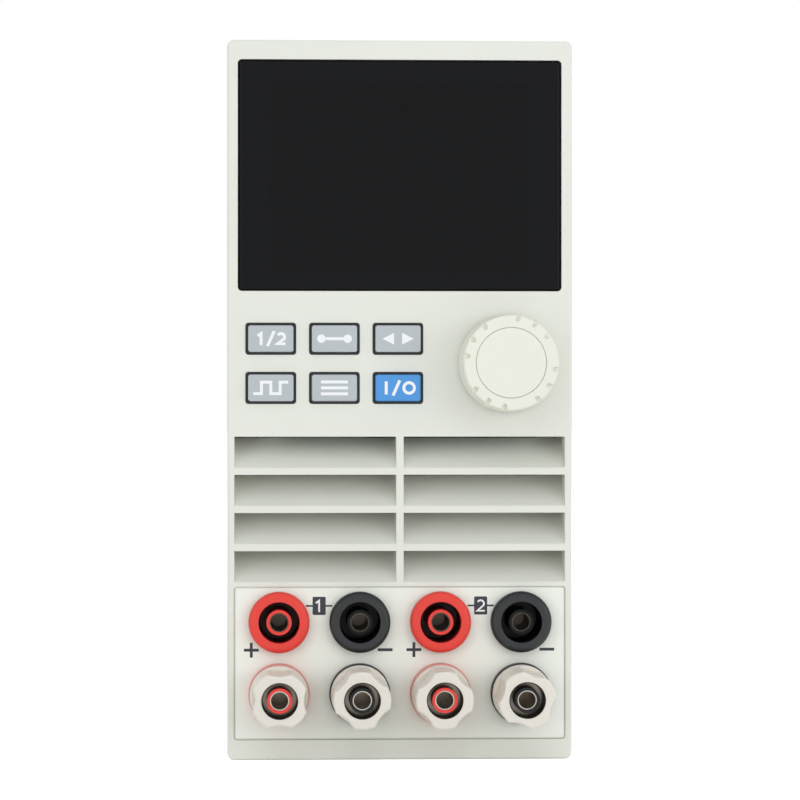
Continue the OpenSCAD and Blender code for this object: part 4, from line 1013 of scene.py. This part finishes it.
class RearConnectorOperator(bpy.types.Operator):
    """Finishes the rear connector and grows its pins"""

    bl_idname = "load_module.rear_connector"
    bl_label = "Rear connector"

    def execute(self, context):
        sizes = settings()[1]
        dressed("rear_connector", sizes.plastic_edge)
        low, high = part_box("rear_connector")
        pin = self.pin_shape(sizes.pin_width / 2, sizes.pin_reach)
        tree, sockets = instance_tree("pins_in_rows", grid=True)
        floor_y = high[1] - sizes.pin_recess
        values = {"Shape": pin, "Finish": finish("nickel_plate"), "Columns": sizes.pin_columns,
                  "Rows": sizes.pin_rows, "Pitch": sizes.pin_pitch,
                  "Centre": ((low[0] + high[0]) / 2, floor_y, (low[2] + high[2]) / 2)}
        mesh = grown("rear_connector_pins", tree, sockets, values)
        bpy.data.objects.remove(pin)
        shade(mesh)
        piece = new_piece("rear_connector_pins", mesh, finish("nickel_plate"))
        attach(piece, body_of_node("rear_connector"))
        return {"FINISHED"}

    def pin_shape(self, half, reach):
        """A square pin along +Y with a pointed tip, let into the connector's floor."""
        bm = bmesh.new()
        rings = ((half, -0.5 * MM), (half, reach - 3 * half), (half * 0.35, reach))
        loops = [[bm.verts.new((sx * r, y, sz * r)) for sx, sz in ((1, 1), (-1, 1), (-1, -1), (1, -1))]
                 for r, y in rings]
        for first, second in zip(loops, loops[1:]):
            for i in range(4):
                j = (i + 1) % 4
                bm.faces.new((first[i], first[j], second[j], second[i]))
        bm.faces.new(loops[0])
        bm.faces.new(loops[-1])
        bmesh.ops.recalc_face_normals(bm, faces=bm.faces)
        return bpy.data.objects.new("connector_pin", made_mesh(bm, "connector_pin"))


class ScrewsOperator(bpy.types.Operator):
    """Grows the cross-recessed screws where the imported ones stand"""

    bl_idname = "load_module.screws"
    bl_label = "Screws"

    def execute(self, context):
        tree, sockets = instance_tree("screws_on_points", grid=False)
        self.grow("flat_head_screws", tree, sockets, self.flat_shape, self.flat_points())
        self.grow("pan_head_screws", tree, sockets, self.pan_shape, self.pan_points())
        return {"FINISHED"}

    def grow(self, node, tree, sockets, shape_of, groups):
        """One piece for a node's screws, grown from one shape per screw length."""
        whole = bmesh.new()
        for reach, points in groups.items():
            shape = shape_of(reach * MM)
            mesh = grown(node, tree, sockets, {"Shape": shape, "Finish": finish("zinc_screw")}, points)
            whole.from_mesh(mesh)
            bpy.data.objects.remove(shape)
            bpy.data.meshes.remove(mesh)
        mesh = made_mesh(whole, f"{node}_finished")
        shade(mesh, 40)
        piece = new_piece(f"{node}_finished", mesh, finish("zinc_screw"))
        stands_for(piece, node)

    def flat_shape(self, reach):
        """Countersunk screw, its face flush at the origin."""
        rings = [(2.75 * MM, 0), (2.85 * MM, -0.1 * MM), (1.5 * MM, -1.2 * MM), (1.5 * MM, -reach)]
        return screw_shape("flat_head_screw", rings, 1.5 * MM, 0.62 * MM, 0.75 * MM)

    def pan_shape(self, reach):
        """Pan-head screw, its head's underside 2 mm below the origin."""
        rings = [(1.9 * MM, 0), (2.5 * MM, -0.25 * MM), (2.75 * MM, -0.75 * MM), (2.8 * MM, -2 * MM),
                 (1.5 * MM, -2 * MM), (1.5 * MM, -reach)]
        return screw_shape("pan_head_screw", rings, 1.45 * MM, 0.6 * MM, 1.1 * MM)

    def groups_of(self, node, direction_of):
        """Places and facings of a node's screws, by their length in millimetres, to a hundredth."""
        groups = {}
        for low, high in solid_boxes(node):
            direction = Vector(direction_of(low, high))
            axis = max(range(3), key=lambda i: abs(direction[i]))
            place = (low + high) / 2
            place[axis] = high[axis] if direction[axis] > 0 else low[axis]
            reach = round((high[axis] - low[axis]) / MM, 2)
            groups.setdefault(reach, []).append((tuple(place), facing_angles(direction)))
        return groups

    def flat_points(self):
        """The screws in the two sides, each facing out."""
        return self.groups_of("flat_head_screws", lambda low, high: (1, 0, 0) if low.x > 0 else (-1, 0, 0))

    def pan_points(self):
        """The screws in the rear panel, which face back, and the ones inside, which face left."""
        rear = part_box("rear_panel")[0][1]
        return self.groups_of("pan_head_screws", lambda low, high: (0, 1, 0) if high.y > rear else (-1, 0, 0))


class LoadPanel(bpy.types.Panel):
    """Lists the steps that finish the module"""

    bl_idname = "LOADMODULE_PT_steps"
    bl_label = "Load module"
    bl_space_type = "VIEW_3D"
    bl_region_type = "UI"
    bl_category = "Load module"

    def draw(self, context):
        for group in (context.scene.load_colours, context.scene.load_sizes):
            column = self.layout.column()
            for name in group.bl_rna.properties.keys():
                if name not in ("rna_type", "name"):
                    column.prop(group, name)
        for step in STEPS:
            self.layout.operator(step.bl_idname)


STEPS = (StageOperator, BezelOperator, KeysOperator, KnobOperator, TerminalsOperator, PlatePrintOperator,
         ChassisOperator, FansOperator, RearConnectorOperator, ScrewsOperator)
CLASSES = (LoadColours, LoadSizes, *STEPS, LoadPanel)


def register():
    """Registers the classes and the settings."""
    for cls in CLASSES:
        bpy.utils.register_class(cls)
    bpy.types.Scene.load_colours = PointerProperty(type=LoadColours)
    bpy.types.Scene.load_sizes = PointerProperty(type=LoadSizes)


def unregister():
    """Removes the settings and the classes."""
    del bpy.types.Scene.load_sizes
    del bpy.types.Scene.load_colours
    for cls in reversed(CLASSES):
        bpy.utils.unregister_class(cls)


def main():
    """Runs every step in order."""
    register()
    for step in STEPS:
        group, name = step.bl_idname.split(".")
        getattr(getattr(bpy.ops, group), name)()


if __name__ == "__main__":
    main()
